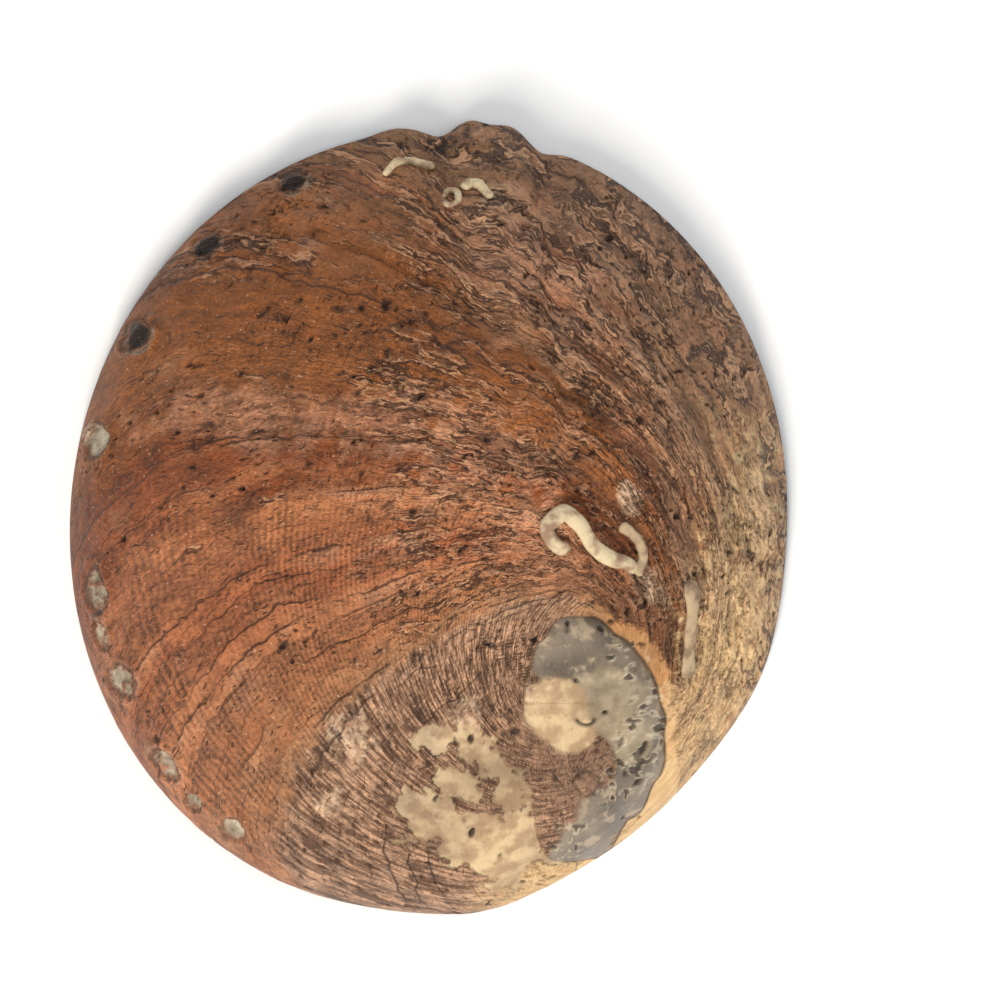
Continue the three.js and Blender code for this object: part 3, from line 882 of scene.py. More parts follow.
    def detail(self, x: Array, y: Array, seen: dict[str, Array]) -> Array:
        """Gives the fine relief over the smooth form.

        Args:
            x: The points' places along X.
            y: Their places along Y.
            seen: The regions at the same points; those found on the way are added to them.

        Returns:
            The rise at each point, in millimetres.
        """
        n, age, cord, old = self.noise, seen["age"], seen["cord"], seen["old"]
        worn = np.maximum(np.maximum(seen["cream"], seen["grey"]), seen["pale"])
        fresh = 1 - 0.92 * np.maximum(worn, seen["band"])
        calm = smooth((seen["near"] - 10) / 10)
        steps = self.ledge(seen)
        fine = 0.12 * n.cloud(age * 110, cord * 9, 3, 33)
        ribs = 0.75 * n.cloud(age * 9, cord * 0.9, 3, 113) * smooth((x + 14) / 34) * (1 - old)
        flow = 0.3 * old * n.cloud(cord * 30, age * 4, 3, 58)
        lumps = 0.5 * n.cloud(x / 13, y / 13, 3, 61)
        grain = n.cloud(x / 0.95, y / 0.95, 2, 71)
        lace = n.cloud(x / 1.5, y / 1.5, 2, 99)
        cords = self.cords(x, y, seen)
        gouge, slit = self.gouges(x, y, seen, fine, calm)
        scale, crevice = self.scales(x, y, seen, grain)
        chip, hole = self.pits(x, y, seen, calm)
        eaten = smooth((lace - 0.42) / 0.12) * np.maximum(0.9 * seen["pitted"], 0.5 * seen["crust"])
        rimmed = bell(lace - 0.3, 0.12) * seen["pitted"]
        scored = bell(self.crescent.share(x, y) - 0.85, 0.22) * smooth((self.crescent.y + 0.9 - y) / 1.2)
        scored = scored + 0.6 * bell(self.faint_ring.share(x, y) + 0.3 * lace - 1, 0.14)
        rise = (fine + cords) * fresh + (steps + ribs) * fresh * calm + lumps * calm
        rise = rise + (flow - 0.4 * gouge - 0.35 * slit) * fresh + 0.07 * grain * (0.3 + 0.7 * fresh)
        rise = rise + (0.28 * scale - 0.3 * crevice) * fresh
        rise = rise - 0.4 * chip * fresh - 0.7 * hole - 0.35 * eaten + 0.25 * rimmed - 0.5 * scored
        rise = rise - 0.25 * seen["cream"] * calm + 0.3 * seen["crust"] * (0.6 + 0.5 * lace)
        seen["white"] = np.maximum(rimmed, 0.45 * seen["crust"] * smooth((0.5 - np.abs(lace - 0.1)) / 0.3))
        rise, hole = self.healed(x, y, seen, rise, hole, lace)
        seen["gouge"] = np.maximum(gouge, slit) * fresh
        # The dark mask is painted shade in the chips, the borings and open pores, the eaten pits, the scored
        # marks and the crevices.
        dark = np.maximum(np.maximum(0.75 * chip * fresh, hole), np.maximum(0.8 * eaten, scored))
        seen["dark"] = np.maximum(dark, 0.65 * crevice * fresh)
        fade = smooth((1 - seen["share"]) / 0.02)
        seen["rise"] = (rise - 0.7 * seen["fill"] - 0.35 * seen["moat"]) * (0.25 + 0.75 * fade)
        return seen["rise"]


@dataclass(frozen=True)
class MeshParts:
    """A mesh as plain arrays: points in millimetres, the faces' corners and where each face starts."""

    points: Array
    corners: Array
    starts: Array

    def make(self, name: str) -> bpy.types.Mesh:
        """Builds the mesh in metres, shaded smooth.

        Args:
            name: The mesh's name.

        Returns:
            The mesh.
        """
        mesh = bpy.data.meshes.new(name)
        mesh.vertices.add(len(self.points))
        mesh.vertices.foreach_set("co", (self.points * MM).astype(np.float32).ravel())
        mesh.loops.add(len(self.corners))
        mesh.loops.foreach_set("vertex_index", self.corners.astype(np.int32))
        mesh.polygons.add(len(self.starts))
        mesh.polygons.foreach_set("loop_start", self.starts.astype(np.int32))
        mesh.polygons.foreach_set("use_smooth", np.ones(len(self.starts), bool))
        mesh.update(calc_edges=True)
        return mesh


@dataclass
class ShellBody:
    """The shell as a fine mesh: one closed wall, bored through at the open pores, then parted in pieces."""

    form: ShellForm
    skin: Skin
    cells: int = 500
    pore_tilt: float = 0.6
    bore_half_length: float = 9.0
    seen: dict[str, Array] = field(default_factory=dict)
    known: dict[bytes, int] = field(default_factory=dict)

    def disc(self, cells: int) -> tuple[Array, Array]:
        """Spreads a square grid evenly over a disc.

        Args:
            cells: The number of cells along the grid's side.

        Returns:
            The angle in radians and the distance from the middle, from 0 to 1, of each grid corner.
        """
        line = np.linspace(-1, 1, cells + 1)
        a, b = np.meshgrid(line, line, indexing="ij")
        wide = np.abs(a) >= np.abs(b)
        safe_a, safe_b = np.where(a == 0, 1e-12, a), np.where(b == 0, 1e-12, b)
        radius = np.where(wide, a, b)
        angle = np.where(wide, np.pi / 4 * b / safe_a, np.pi / 2 - np.pi / 4 * a / safe_b)
        return np.where(radius < 0, angle + np.pi, angle), np.abs(radius)

    def border(self, cells: int) -> Array:
        """Gives the grid's outer corners in order, anticlockwise.

        Args:
            cells: The number of cells along the grid's side.

        Returns:
            The number of each corner on the border.
        """
        number = np.arange((cells + 1) ** 2).reshape(cells + 1, cells + 1)
        sides = (number[-1, :-1], number[::-1, -1][:-1], number[0, ::-1][:-1], number[:, 0][:-1])
        return np.concatenate(sides)

    def quads(self, cells: int) -> Array:
        """Returns the corners of the grid's cells, anticlockwise."""
        number = np.arange((cells + 1) ** 2).reshape(cells + 1, cells + 1)
        corners = (number[:-1, :-1], number[1:, :-1], number[1:, 1:], number[:-1, 1:])
        return np.stack(corners, -1).reshape(-1, 4)

    def plan(self, cells: int, inset: float, most: float) -> tuple[Array, Array]:
        """Spreads the grid over the shell as seen from above.

        Args:
            cells: The number of cells along the grid's side.
            inset: How far inside the rim the grid's unit circle lies.
            most: The share of the way to it that the grid's border reaches.

        Returns:
            The place of each grid corner along X and Y, in millimetres.
        """
        angle, radius = self.disc(cells)
        angle, radius = angle.ravel(), radius.ravel()
        dx, dy = np.cos(angle), np.sin(angle)
        out = self.form.reach(self.form.crown, dx, dy, inset) * np.sin(radius * np.pi / 2) * most
        return self.form.crown[0] + dx * out, self.form.crown[1] + dy * out

    def normals(self, x: Array, y: Array) -> Array:
        """Gives the outside's outward directions.

        Args:
            x: The points' places along X.
            y: Their places along Y.

        Returns:
            A unit direction for each point.
        """
        step = 0.35
        held = self.form.crown_share(x, y) > 0.985
        px, py = np.where(held, x * 0.9925, x), np.where(held, y * 0.9925, y)
        slope_x = (self.form.outer(px + step, py) - self.form.outer(px - step, py)) / (2 * step)
        slope_y = (self.form.outer(px, py + step) - self.form.outer(px, py - step)) / (2 * step)
        found = np.stack([-slope_x, -slope_y, np.ones_like(x)], 1)
        return found / np.linalg.norm(found, axis=1)[:, None]

    def outside(self) -> Array:
        """Builds the grid over the outside, with its fine relief.

        Returns:
            The place of each grid corner, in millimetres.
        """
        n = self.cells
        x, y = self.plan(n, 0.0, 1.0)
        self.seen = self.skin.regions(x, y)
        rise = self.skin.detail(x, y, self.seen)
        self.seen["deep"] = np.zeros_like(x)
        places = np.stack([x, y, self.form.outer(x, y)], 1)
        grid = places.reshape(n + 1, n + 1, 3)
        outward = np.cross(np.gradient(grid, axis=0), np.gradient(grid, axis=1)).reshape(-1, 3)
        outward /= np.linalg.norm(outward, axis=1)[:, None] + 1e-12
        moved = places + outward * rise[:, None]
        rim = self.border(n)
        moved[rim] = places[rim]
        return moved

    def inside(self) -> Array:
        """Builds the grid over the inside of the bowl.

        Returns:
            The place of each grid corner, in millimetres.
        """
        x, y = self.plan(self.cells // 2, self.form.wall_inset, 0.975)
        noise = self.skin.noise
        waves = 0.35 * noise.cloud(x / 14, y / 14, 3, 101) + 0.05 * noise.cloud(x / 2.2, y / 2.2, 2, 107)
        scar = self.skin.scar_share(x, y)
        edge = 0.35 * bell(scar - 1.0, 0.05) + 0.25 * smooth((1.0 - scar) / 0.08)
        rough = 0.22 * smooth((1 - scar) / 0.1) * noise.cloud(x / 1.8, y / 3.0, 3, 117)
        fade = smooth((1 - self.form.crown_share(x, y, self.form.wall_inset)) / 0.06)
        return np.stack([x, y, self.form.inner(x, y) - (waves + edge + rough) * fade], 1)

    def rim_rings(self, outer_edge: Array, bowl_edge: Array) -> list[Array]:
        """Builds the rings that run under the rim, from the outside to the bowl.

        Args:
            outer_edge: The outside's border, in order.
            bowl_edge: The bowl's border, in the same order, with half as many points.

        Returns:
            The rings between the two, in millimetres.
        """
        middle = np.array(self.form.crown)
        away = outer_edge[:, :2] - middle
        inward = -away / np.linalg.norm(away, axis=1)[:, None]
        angle = degrees(outer_edge[:, 1], outer_edge[:, 0])
        lift, width = self.form.lift(angle), self.form.rim_width(angle)

        def ring(inset: Array | float, height: Array | float) -> Array:
            """Returns a ring at some distance inside the rim and some height."""
            flat = outer_edge[:, :2] + inward * (np.zeros_like(width) + inset)[:, None]
            return np.column_stack([flat, np.zeros_like(width) + height + lift])

        r = self.form.rounding
        rings = [ring(r * 0.32, r * 0.3), ring(r, 0.0), ring(r + 0.35 * (width - r), 0.0)]
        rings += [ring(r + 0.7 * (width - r), 0.0), ring(width - 0.15, 0.06), ring(width + 0.1, r * 0.6)]
        start = ring(width + 0.12, r * 1.1)
        end = np.repeat(bowl_edge, 2, axis=0)
        end[1::2] = (bowl_edge + np.roll(bowl_edge, -1, axis=0)) / 2
        bulge = ring(self.form.wall_inset + 0.45 * (width - self.form.wall_inset) + 0.4, 2.9)
        for t in (0.0, 0.3, 0.62, 0.85):
            rings.append((1 - t) ** 2 * start + 2 * t * (1 - t) * bulge + t * t * end)
        return rings

    def wall(self) -> bpy.types.Object:
        """Builds the closed wall.

        Returns:
            An object whose faces have material 0 outside and 1 inside.
        """
        n, half = self.cells, self.cells // 2
        outer, inner = self.outside(), self.inside()
        rim, bowl = self.border(n), self.border(half) + len(outer)
        rings = self.rim_rings(outer[rim], inner[self.border(half)])
        points = np.concatenate([outer, inner, *rings]) + np.array([*self.form.centring, 0.0])
        first = len(outer) + len(inner)
        loops = [rim] + [first + k * len(rim) + np.arange(len(rim)) for k in range(len(rings))]
        bands = [np.stack([a, b, np.roll(b, -1), np.roll(a, -1)], 1) for a, b in zip(loops, loops[1:])]
        last = loops[-1]
        joint = np.stack([last[::2], bowl, np.roll(bowl, -1), np.roll(last, -2)[::2], last[1::2]], 1)
        fours = np.concatenate([self.quads(n), *bands, self.quads(half)[:, ::-1] + len(outer)])
        corners = np.concatenate([fours.ravel(), joint.ravel()])
        starts = np.concatenate([np.arange(len(fours)) * 4, len(fours) * 4 + np.arange(len(joint)) * 5])
        mesh = MeshParts(points, corners, starts).make("wall")
        sides = np.full(len(starts), Side.INSIDE.value, np.int32)
        sides[: n * n + 3 * len(rim)] = Side.OUTSIDE.value
        for name in ("wall_outside", "wall_inside"):
            mesh.materials.append(bpy.data.materials.new(name))
        mesh.polygons.foreach_set("material_index", sides)
        self.known = {p.tobytes(): k for k, p in enumerate((points[: len(outer)] * MM).astype(np.float32))}
        wall = bpy.data.objects.new("wall", mesh)
        bpy.context.collection.objects.link(wall)
        return wall

    def bore(self, pore: Pore) -> bpy.types.Object:
        """Builds the flared oval cutter of an open pore.

        Args:
            pore: The pore to cut.

        Returns:
            The cutter.
        """
        x, y = np.array([pore.x]), np.array([pore.y])
        outward = Vector(self.normals(x, y)[0])
        axis = outward.lerp(Vector((0, 0, 1)), self.pore_tilt).normalized()
        along = Vector((0, 0, 1)).cross(outward).normalized()
        across = along.cross(axis)
        centring = self.form.centring
        middle = Vector((pore.x + centring[0], pore.y + centring[1], self.form.outer(x, y)[0]))
        sides, points = 40, []
        for level in (-1, -0.1, 0.0, 0.15, 1):
            flare = 1.08 + 0.16 * max(level * 4, 0) - 0.05 * (level < 0)
            for i in range(sides):
                turn = 2 * math.pi * i / sides
                wobble = 1 + 0.07 * math.sin(3 * turn + pore.x) + 0.04 * math.sin(5 * turn + pore.y)
                arm = along * math.cos(turn) * pore.long / 2 + across * math.sin(turn) * pore.wide / 2
                points.append(middle + arm * flare * wobble + axis * level * self.bore_half_length)
        faces = [tuple(reversed(range(sides)))]
        for k in range(4):
            for i in range(sides):
                j = (i + 1) % sides
                faces.append((k * sides + i, k * sides + j, (k + 1) * sides + j, (k + 1) * sides + i))
        faces.append(tuple(range(4 * sides, 5 * sides)))
        mesh = bpy.data.meshes.new("bore")
        mesh.from_pydata([tuple(p * MM) for p in points], [], faces)
        cutter = bpy.data.objects.new("bore", mesh)
        bpy.context.collection.objects.link(cutter)
        return cutter

    def bored(self) -> bpy.types.Mesh:
        """Builds the wall and cuts the open pores.

        Returns:
            The closed mesh with its pores.
        """
        wall = self.wall()
        cutters = [self.bore(p) for p in self.form.pores if p.is_open]
        for cutter in cutters:
            cut = wall.modifiers.new("pore", "BOOLEAN")
            cut.operation, cut.solver, cut.object = "DIFFERENCE", "MANIFOLD", cutter
        seen = wall.evaluated_get(bpy.context.evaluated_depsgraph_get())
        mesh = bpy.data.meshes.new_from_object(seen)
        for spare in [wall, *cutters]:
            old = spare.data
            bpy.data.objects.remove(spare)
            bpy.data.meshes.remove(old)
        return mesh

    def parts(self, mesh: bpy.types.Mesh) -> list[bpy.types.Object]:
        """Parts the wall: the inside, and the outside in four quarters that share their shading.

        Args:
            mesh: The whole wall.

        Returns:
            The pieces, the inside last, with what their finish reads on their points.
        """
        count = len(mesh.polygons)
        kind, start, total = (np.empty(count, np.int32) for _ in range(3))
        corner = np.empty(len(mesh.loops), np.int32)
        centre = np.empty(count * 3)
        places, normals = (np.empty(len(mesh.vertices) * 3, np.float32) for _ in range(2))
        mesh.polygons.foreach_get("material_index", kind)
        mesh.polygons.foreach_get("loop_start", start)
        mesh.polygons.foreach_get("loop_total", total)
        mesh.polygons.foreach_get("center", centre)
        mesh.loops.foreach_get("vertex_index", corner)
        mesh.vertices.foreach_get("co", places)
        mesh.vertex_normals.foreach_get("vector", normals)
        places, normals, centre = places.reshape(-1, 3), normals.reshape(-1, 3), centre.reshape(-1, 3)
        crown = (np.array(self.form.crown) + np.array(self.form.centring)) * MM
        quarter = (centre[:, 0] > crown[0]).astype(int) + 2 * (centre[:, 1] > crown[1]).astype(int)
        group = np.where(kind == Side.INSIDE.value, 4, quarter)
        quarters = ("shell_back_left", "shell_back_right", "shell_front_left", "shell_front_right")
        names = (*quarters, "shell_inside")
        made = []
        for k, name in enumerate(names):
            chosen = group == k
            lengths = total[chosen]
            starts = np.cumsum(lengths) - lengths
            loops = np.repeat(start[chosen] - starts, lengths) + np.arange(lengths.sum())
            used, corners = np.unique(corner[loops], return_inverse=True)
            points = places[used].astype(float) / MM
            piece = MeshParts(points, corners, starts).make(name)
            self.mark(piece, points, places[used], Side.INSIDE if k == 4 else Side.OUTSIDE)
            piece.normals_split_custom_set_from_vertices(normals[used].tolist())
            made.append(bpy.data.objects.new(name, piece))
            bpy.context.collection.objects.link(made[-1])
        return made

    def mark(self, mesh: bpy.types.Mesh, points: Array, stored: Array, side: Side) -> None:
        """Writes what the finish reads on each point of a piece.

        Args:
            mesh: The piece's mesh.
            points: Its points, in millimetres.
            stored: The same points as the mesh holds them.
            side: The side of the wall that the piece is.
        """
        x, y = points[:, 0] - self.form.centring[0], points[:, 1] - self.form.centring[1]
        if side is Side.INSIDE:
            scar = self.skin.scar_share(x, y)
            age, cord = self.form.growth(x, y)
            seen = {"age": age, "cord": cord, "share": self.form.crown_share(x, y)}
            seen["scar"], seen["edge"] = smooth((1.0 - scar) / 0.06), bell(scar - 1.0, 0.06)
        else:
            origin = np.array([self.known.get(p.tobytes(), -1) for p in stored])
            new = origin < 0
            fresh = self.skin.regions(x[new], y[new])
            self.skin.detail(x[new], y[new], fresh)
            fresh["deep"] = self.form.outer(x[new], y[new]) - points[new, 2]
            seen = {name: values[origin] for name, values in self.seen.items()}
            for name, values in fresh.items():
                seen[name][new] = values
            LOG.info("%s: %d of %d points are new", mesh.name, new.sum(), len(x))
        for name, values in seen.items():
            mesh.attributes.new(name, "FLOAT", "POINT").data.foreach_set("value", values.astype(np.float32))


class Tree:
    """A short way to lay out a node tree."""

    def __init__(self, tree: bpy.types.NodeTree) -> None:
        """Keeps the tree."""
        self.tree = tree

    def add(self, kind: str, **inputs: object) -> bpy.types.Node:
        """Adds a node.

        Args:
            kind: The node's type, without its Shader prefix.
            inputs: Sockets by name, with spaces as underscores, as values or as other nodes' sockets.

        Returns:
            The node.
        """
        node = self.tree.nodes.new("ShaderNode" + kind)
        for name, value in inputs.items():
            self.put(node.inputs[name.replace("_", " ")], value)
        return node

    def put(self, socket: bpy.types.NodeSocket, value: object) -> None:
        """Links a socket to another, or gives it a value."""
        if isinstance(value, bpy.types.NodeSocket):
            self.tree.links.new(value, socket)
        else:
            socket.default_value = value

    def read(self, name: str) -> bpy.types.NodeSocket:
        """Returns the value that a piece's points carry under a name."""
        node = self.add("Attribute")
        node.attribute_name = name
        return node.outputs["Fac"]

    def math(self, way: str, a: object, b: object = 0.0, c: object = 0.0) -> bpy.types.NodeSocket:
        """Adds a sum.

        Args:
            way: The operation.
            a: The first value or socket.
            b: The second.
            c: The third.

        Returns:
            The result.
        """
        node = self.add("Math")
        node.operation = way
        for socket, value in zip(node.inputs, (a, b, c)):
            self.put(socket, value)
        return node.outputs[0]

    def span(
        self, value: object, low: float, high: object, start: float = 0.0, end: float = 1.0
    ) -> bpy.types.NodeSocket:
        """Eases a value from one range to another.

        Args:
            value: The value or socket.
            low: Where the old range starts.
            high: Where it ends, as a value or a socket.
            start: Where the new range starts.
            end: Where it ends.

        Returns:
            The eased value.
        """
        node = self.add("MapRange", Value=value, From_Min=low, From_Max=high, To_Min=start, To_Max=end)
        node.interpolation_type = "SMOOTHSTEP"
        return node.outputs["Result"]

    def mix(self, share: object, a: object, b: object) -> bpy.types.NodeSocket:
        """Mixes two colours.

        Args:
            share: How much of the second colour is taken.
            a: The first colour.
            b: The second colour.

        Returns:
            The mixed colour.
        """
        node = self.add("Mix")
        node.data_type, node.blend_type = "RGBA", "MIX"
        self.put(node.inputs[0], share)
        for socket, value in ((node.inputs[6], a), (node.inputs[7], b)):
            self.put(socket, (*value, 1.0) if isinstance(value, tuple) and len(value) == 3 else value)
        return node.outputs[2]

    def along(self, x: object, y: object, z: object = 0.0) -> bpy.types.NodeSocket:
        """Returns a vector made of three values."""
        return self.add("CombineXYZ", X=x, Y=y, Z=z).outputs[0]

    def noise(
        self, vector: object, scale: float, detail: float = 4.0, rough: float = 0.55
    ) -> bpy.types.NodeSocket:
        """Returns a noise value at a vector."""
        return self.add("TexNoise", Vector=vector, Scale=scale, Detail=detail, Roughness=rough).outputs[0]

    def ramp(self, value: object, stops: tuple[tuple[float, Colour], ...]) -> bpy.types.NodeSocket:
        """Turns a value into a colour.

        Args:
            value: The value.
            stops: The place and the colour of each stop.

        Returns:
            The colour.
        """
        node = self.add("ValToRGB", Fac=value)
        marks = node.color_ramp.elements
        while len(marks) < len(stops):
            marks.new(0.5)
        for mark, (place, colour) in zip(marks, stops):
            mark.position, mark.color = place, (*colour, 1.0)
        return node.outputs["Color"]


def srgb(red: int, green: int, blue: int) -> Colour:
    """Returns a screen colour as linear light."""
    return tuple(((c / 255 + 0.055) / 1.055) ** 2.4 if c > 10 else c / 3295 for c in (red, green, blue))


def open_group(name: str, given: tuple[tuple[str, float], ...], gives: tuple[str, ...]) -> bpy.types.NodeTree:
    """Starts a node group with its sockets.

    Args:
        name: The group's name.
        given: The name and the first value of each number that goes in.
        gives: The names of the numbers that come out.

    Returns:
        The group.
    """
    group = bpy.data.node_groups.new(name, "ShaderNodeTree")
    for label, value in given:
        socket = group.interface.new_socket(label, in_out="INPUT", socket_type="NodeSocketFloat")
        socket.default_value = value
    for label in gives:
        group.interface.new_socket(label, in_out="OUTPUT", socket_type="NodeSocketFloat")
    return group


def open_material(name: str) -> tuple[bpy.types.Material, Tree, bpy.types.Node, bpy.types.NodeSocket]:
    """Starts a material.

    Args:
        name: The material's name.

    Returns:
        The material, its tree, its surface shader, and the point's place on the object.
    """
    material = bpy.data.materials.new(name)
    material.use_nodes = True
    tree = Tree(material.node_tree)
    surface = material.node_tree.nodes["Principled BSDF"]
    return material, tree, surface, tree.add("TexCoord").outputs["Object"]


@dataclass(frozen=True)
class StreakGroup:
    """A shared node group: streaks that run along the growth lines, from the age and cord numbers."""

    name: str = "growth_streaks"

    def make(self) -> bpy.types.NodeTree:
        """Builds the group.

        Returns:
            The group, which gives one value from 0 to 1.
        """
        given = (("Age", 0.0), ("Cord", 0.0), ("Across", 40.0), ("Along", 6.0), ("Shift", 0.0))
        group = open_group(self.name, given, ("Streak",))
        tree = Tree(group)
        entry = group.nodes.new("NodeGroupInput").outputs
        across = tree.math("MULTIPLY", entry["Age"], entry["Across"])
        along = tree.math("MULTIPLY", entry["Cord"], entry["Along"])
        found = tree.noise(tree.along(across, along, entry["Shift"]), 1.0, 5.0, 0.6)
        spread = tree.span(found, 0.28, 0.72)
        group.links.new(spread, group.nodes.new("NodeGroupOutput").inputs["Streak"])
        return group


@dataclass(frozen=True)
class LedgeGroup:
    """A shared node group: layers of growth of uneven width, with thin broken lines between them."""

    name: str = "growth_layers"

    def make(self) -> bpy.types.NodeTree:
        """Builds the group.

        Returns:
            The group, which gives the line between two layers and a value for each layer, from 0 to 1.
        """
        given = (("Age", 0.0), ("Cord", 0.0), ("Across", 30.0), ("Along", 5.0), ("Shift", 0.0))
        group = open_group(self.name, (*given, ("Width", 0.06)), ("Line", "Layer"))
        tree = Tree(group)
        entry = group.nodes.new("NodeGroupInput").outputs
        across = tree.math("MULTIPLY", entry["Age"], entry["Across"])
        along = tree.math("MULTIPLY", entry["Cord"], entry["Along"])
        where = tree.along(along, tree.math("MULTIPLY", across, 0.2), entry["Shift"])
        drift = tree.noise(where, 0.7, 4.0, 0.6)
        value = tree.math("ADD", tree.math("MULTIPLY_ADD", drift, 2.6, across), entry["Shift"])
        cells, edges = tree.add("TexVoronoi"), tree.add("TexVoronoi")
        for node, feature in ((cells, "F1"), (edges, "DISTANCE_TO_EDGE")):
            node.voronoi_dimensions, node.feature = "1D", feature
            tree.put(node.inputs["W"], value)
            node.inputs["Scale"].default_value = 1.0
        seam = tree.math("SUBTRACT", 1.0, tree.span(edges.outputs["Distance"], 0.0, entry["Width"]))
        there = tree.noise(tree.along(along, across, tree.math("ADD", entry["Shift"], 31.0)), 0.6, 3.0, 0.5)
        layer = tree.add("SeparateColor", Color=cells.outputs["Color"]).outputs["Red"]
        leave = group.nodes.new("NodeGroupOutput")
        group.links.new(tree.math("MULTIPLY", seam, tree.span(there, 0.5, 0.62)), leave.inputs["Line"])
        group.links.new(layer, leave.inputs["Layer"])
        return group


@dataclass(frozen=True)
class CrackGroup:
    """A shared node group: broken cracks and chipped scales along the growth lines, and short dashes."""

    name: str = "growth_cracks"

    def make(self) -> bpy.types.NodeTree:
        """Builds the group.

        Returns:
            The group, which gives the cracks, the scales above them, the scales' lit lips that carry a
            painted highlight, and the dashes.
        """
        given = (("Age", 0.0), ("Cord", 0.0), ("Across", 26.0), ("Along", 9.0), ("Shift", 0.0))
        group = open_group(self.name, (*given, ("Least", 0.5)), ("Crack", "Scale", "LitLip", "Dash"))
        tree = Tree(group)
        entry = group.nodes.new("NodeGroupInput").outputs
        across = tree.math("MULTIPLY", entry["Age"], entry["Across"])
        along = tree.math("MULTIPLY", entry["Cord"], entry["Along"])
        found = tree.noise(tree.along(across, along, entry["Shift"]), 1.0, 5.0, 0.62)
        short = tree.math("MULTIPLY", along, 0.5)
        wide = tree.along(tree.math("MULTIPLY", across, 0.3), short, entry["Shift"])
        least = tree.math("SUBTRACT", tree.noise(wide, 1.0, 3.0, 0.6), entry["Least"])
        there = tree.span(least, 0.0, 0.06)
        off = tree.math("ABSOLUTE", tree.math("SUBTRACT", found, 0.5))
        lit = tree.math("ABSOLUTE", tree.math("SUBTRACT", found, 0.548))
        cells = tree.add("TexVoronoi")
        cells.voronoi_dimensions = "2D"
        tree.put(cells.inputs["Vector"], tree.along(tree.math("ADD", across, entry["Shift"]), along, 0.0))
        cells.inputs["Scale"].default_value = 1.4
        pick = tree.add("SeparateColor", Color=cells.outputs["Color"]).outputs["Red"]
        inside = tree.math("SUBTRACT", tree.span(pick, 0.55, 1.0, 0.0, 0.24), cells.outputs["Distance"])
        leave = group.nodes.new("NodeGroupOutput").inputs
        crack = tree.math("SUBTRACT", 1.0, tree.span(off, 0.009, 0.028))
        lip = tree.math("SUBTRACT", 1.0, tree.span(lit, 0.008, 0.026))
        group.links.new(tree.math("MULTIPLY", crack, there), leave["Crack"])
        group.links.new(tree.math("MULTIPLY", tree.span(found, 0.49, 0.53), there), leave["Scale"])
        group.links.new(tree.math("MULTIPLY", lip, there), leave["LitLip"])
        group.links.new(tree.span(inside, 0.0, 0.05), leave["Dash"])
        return group


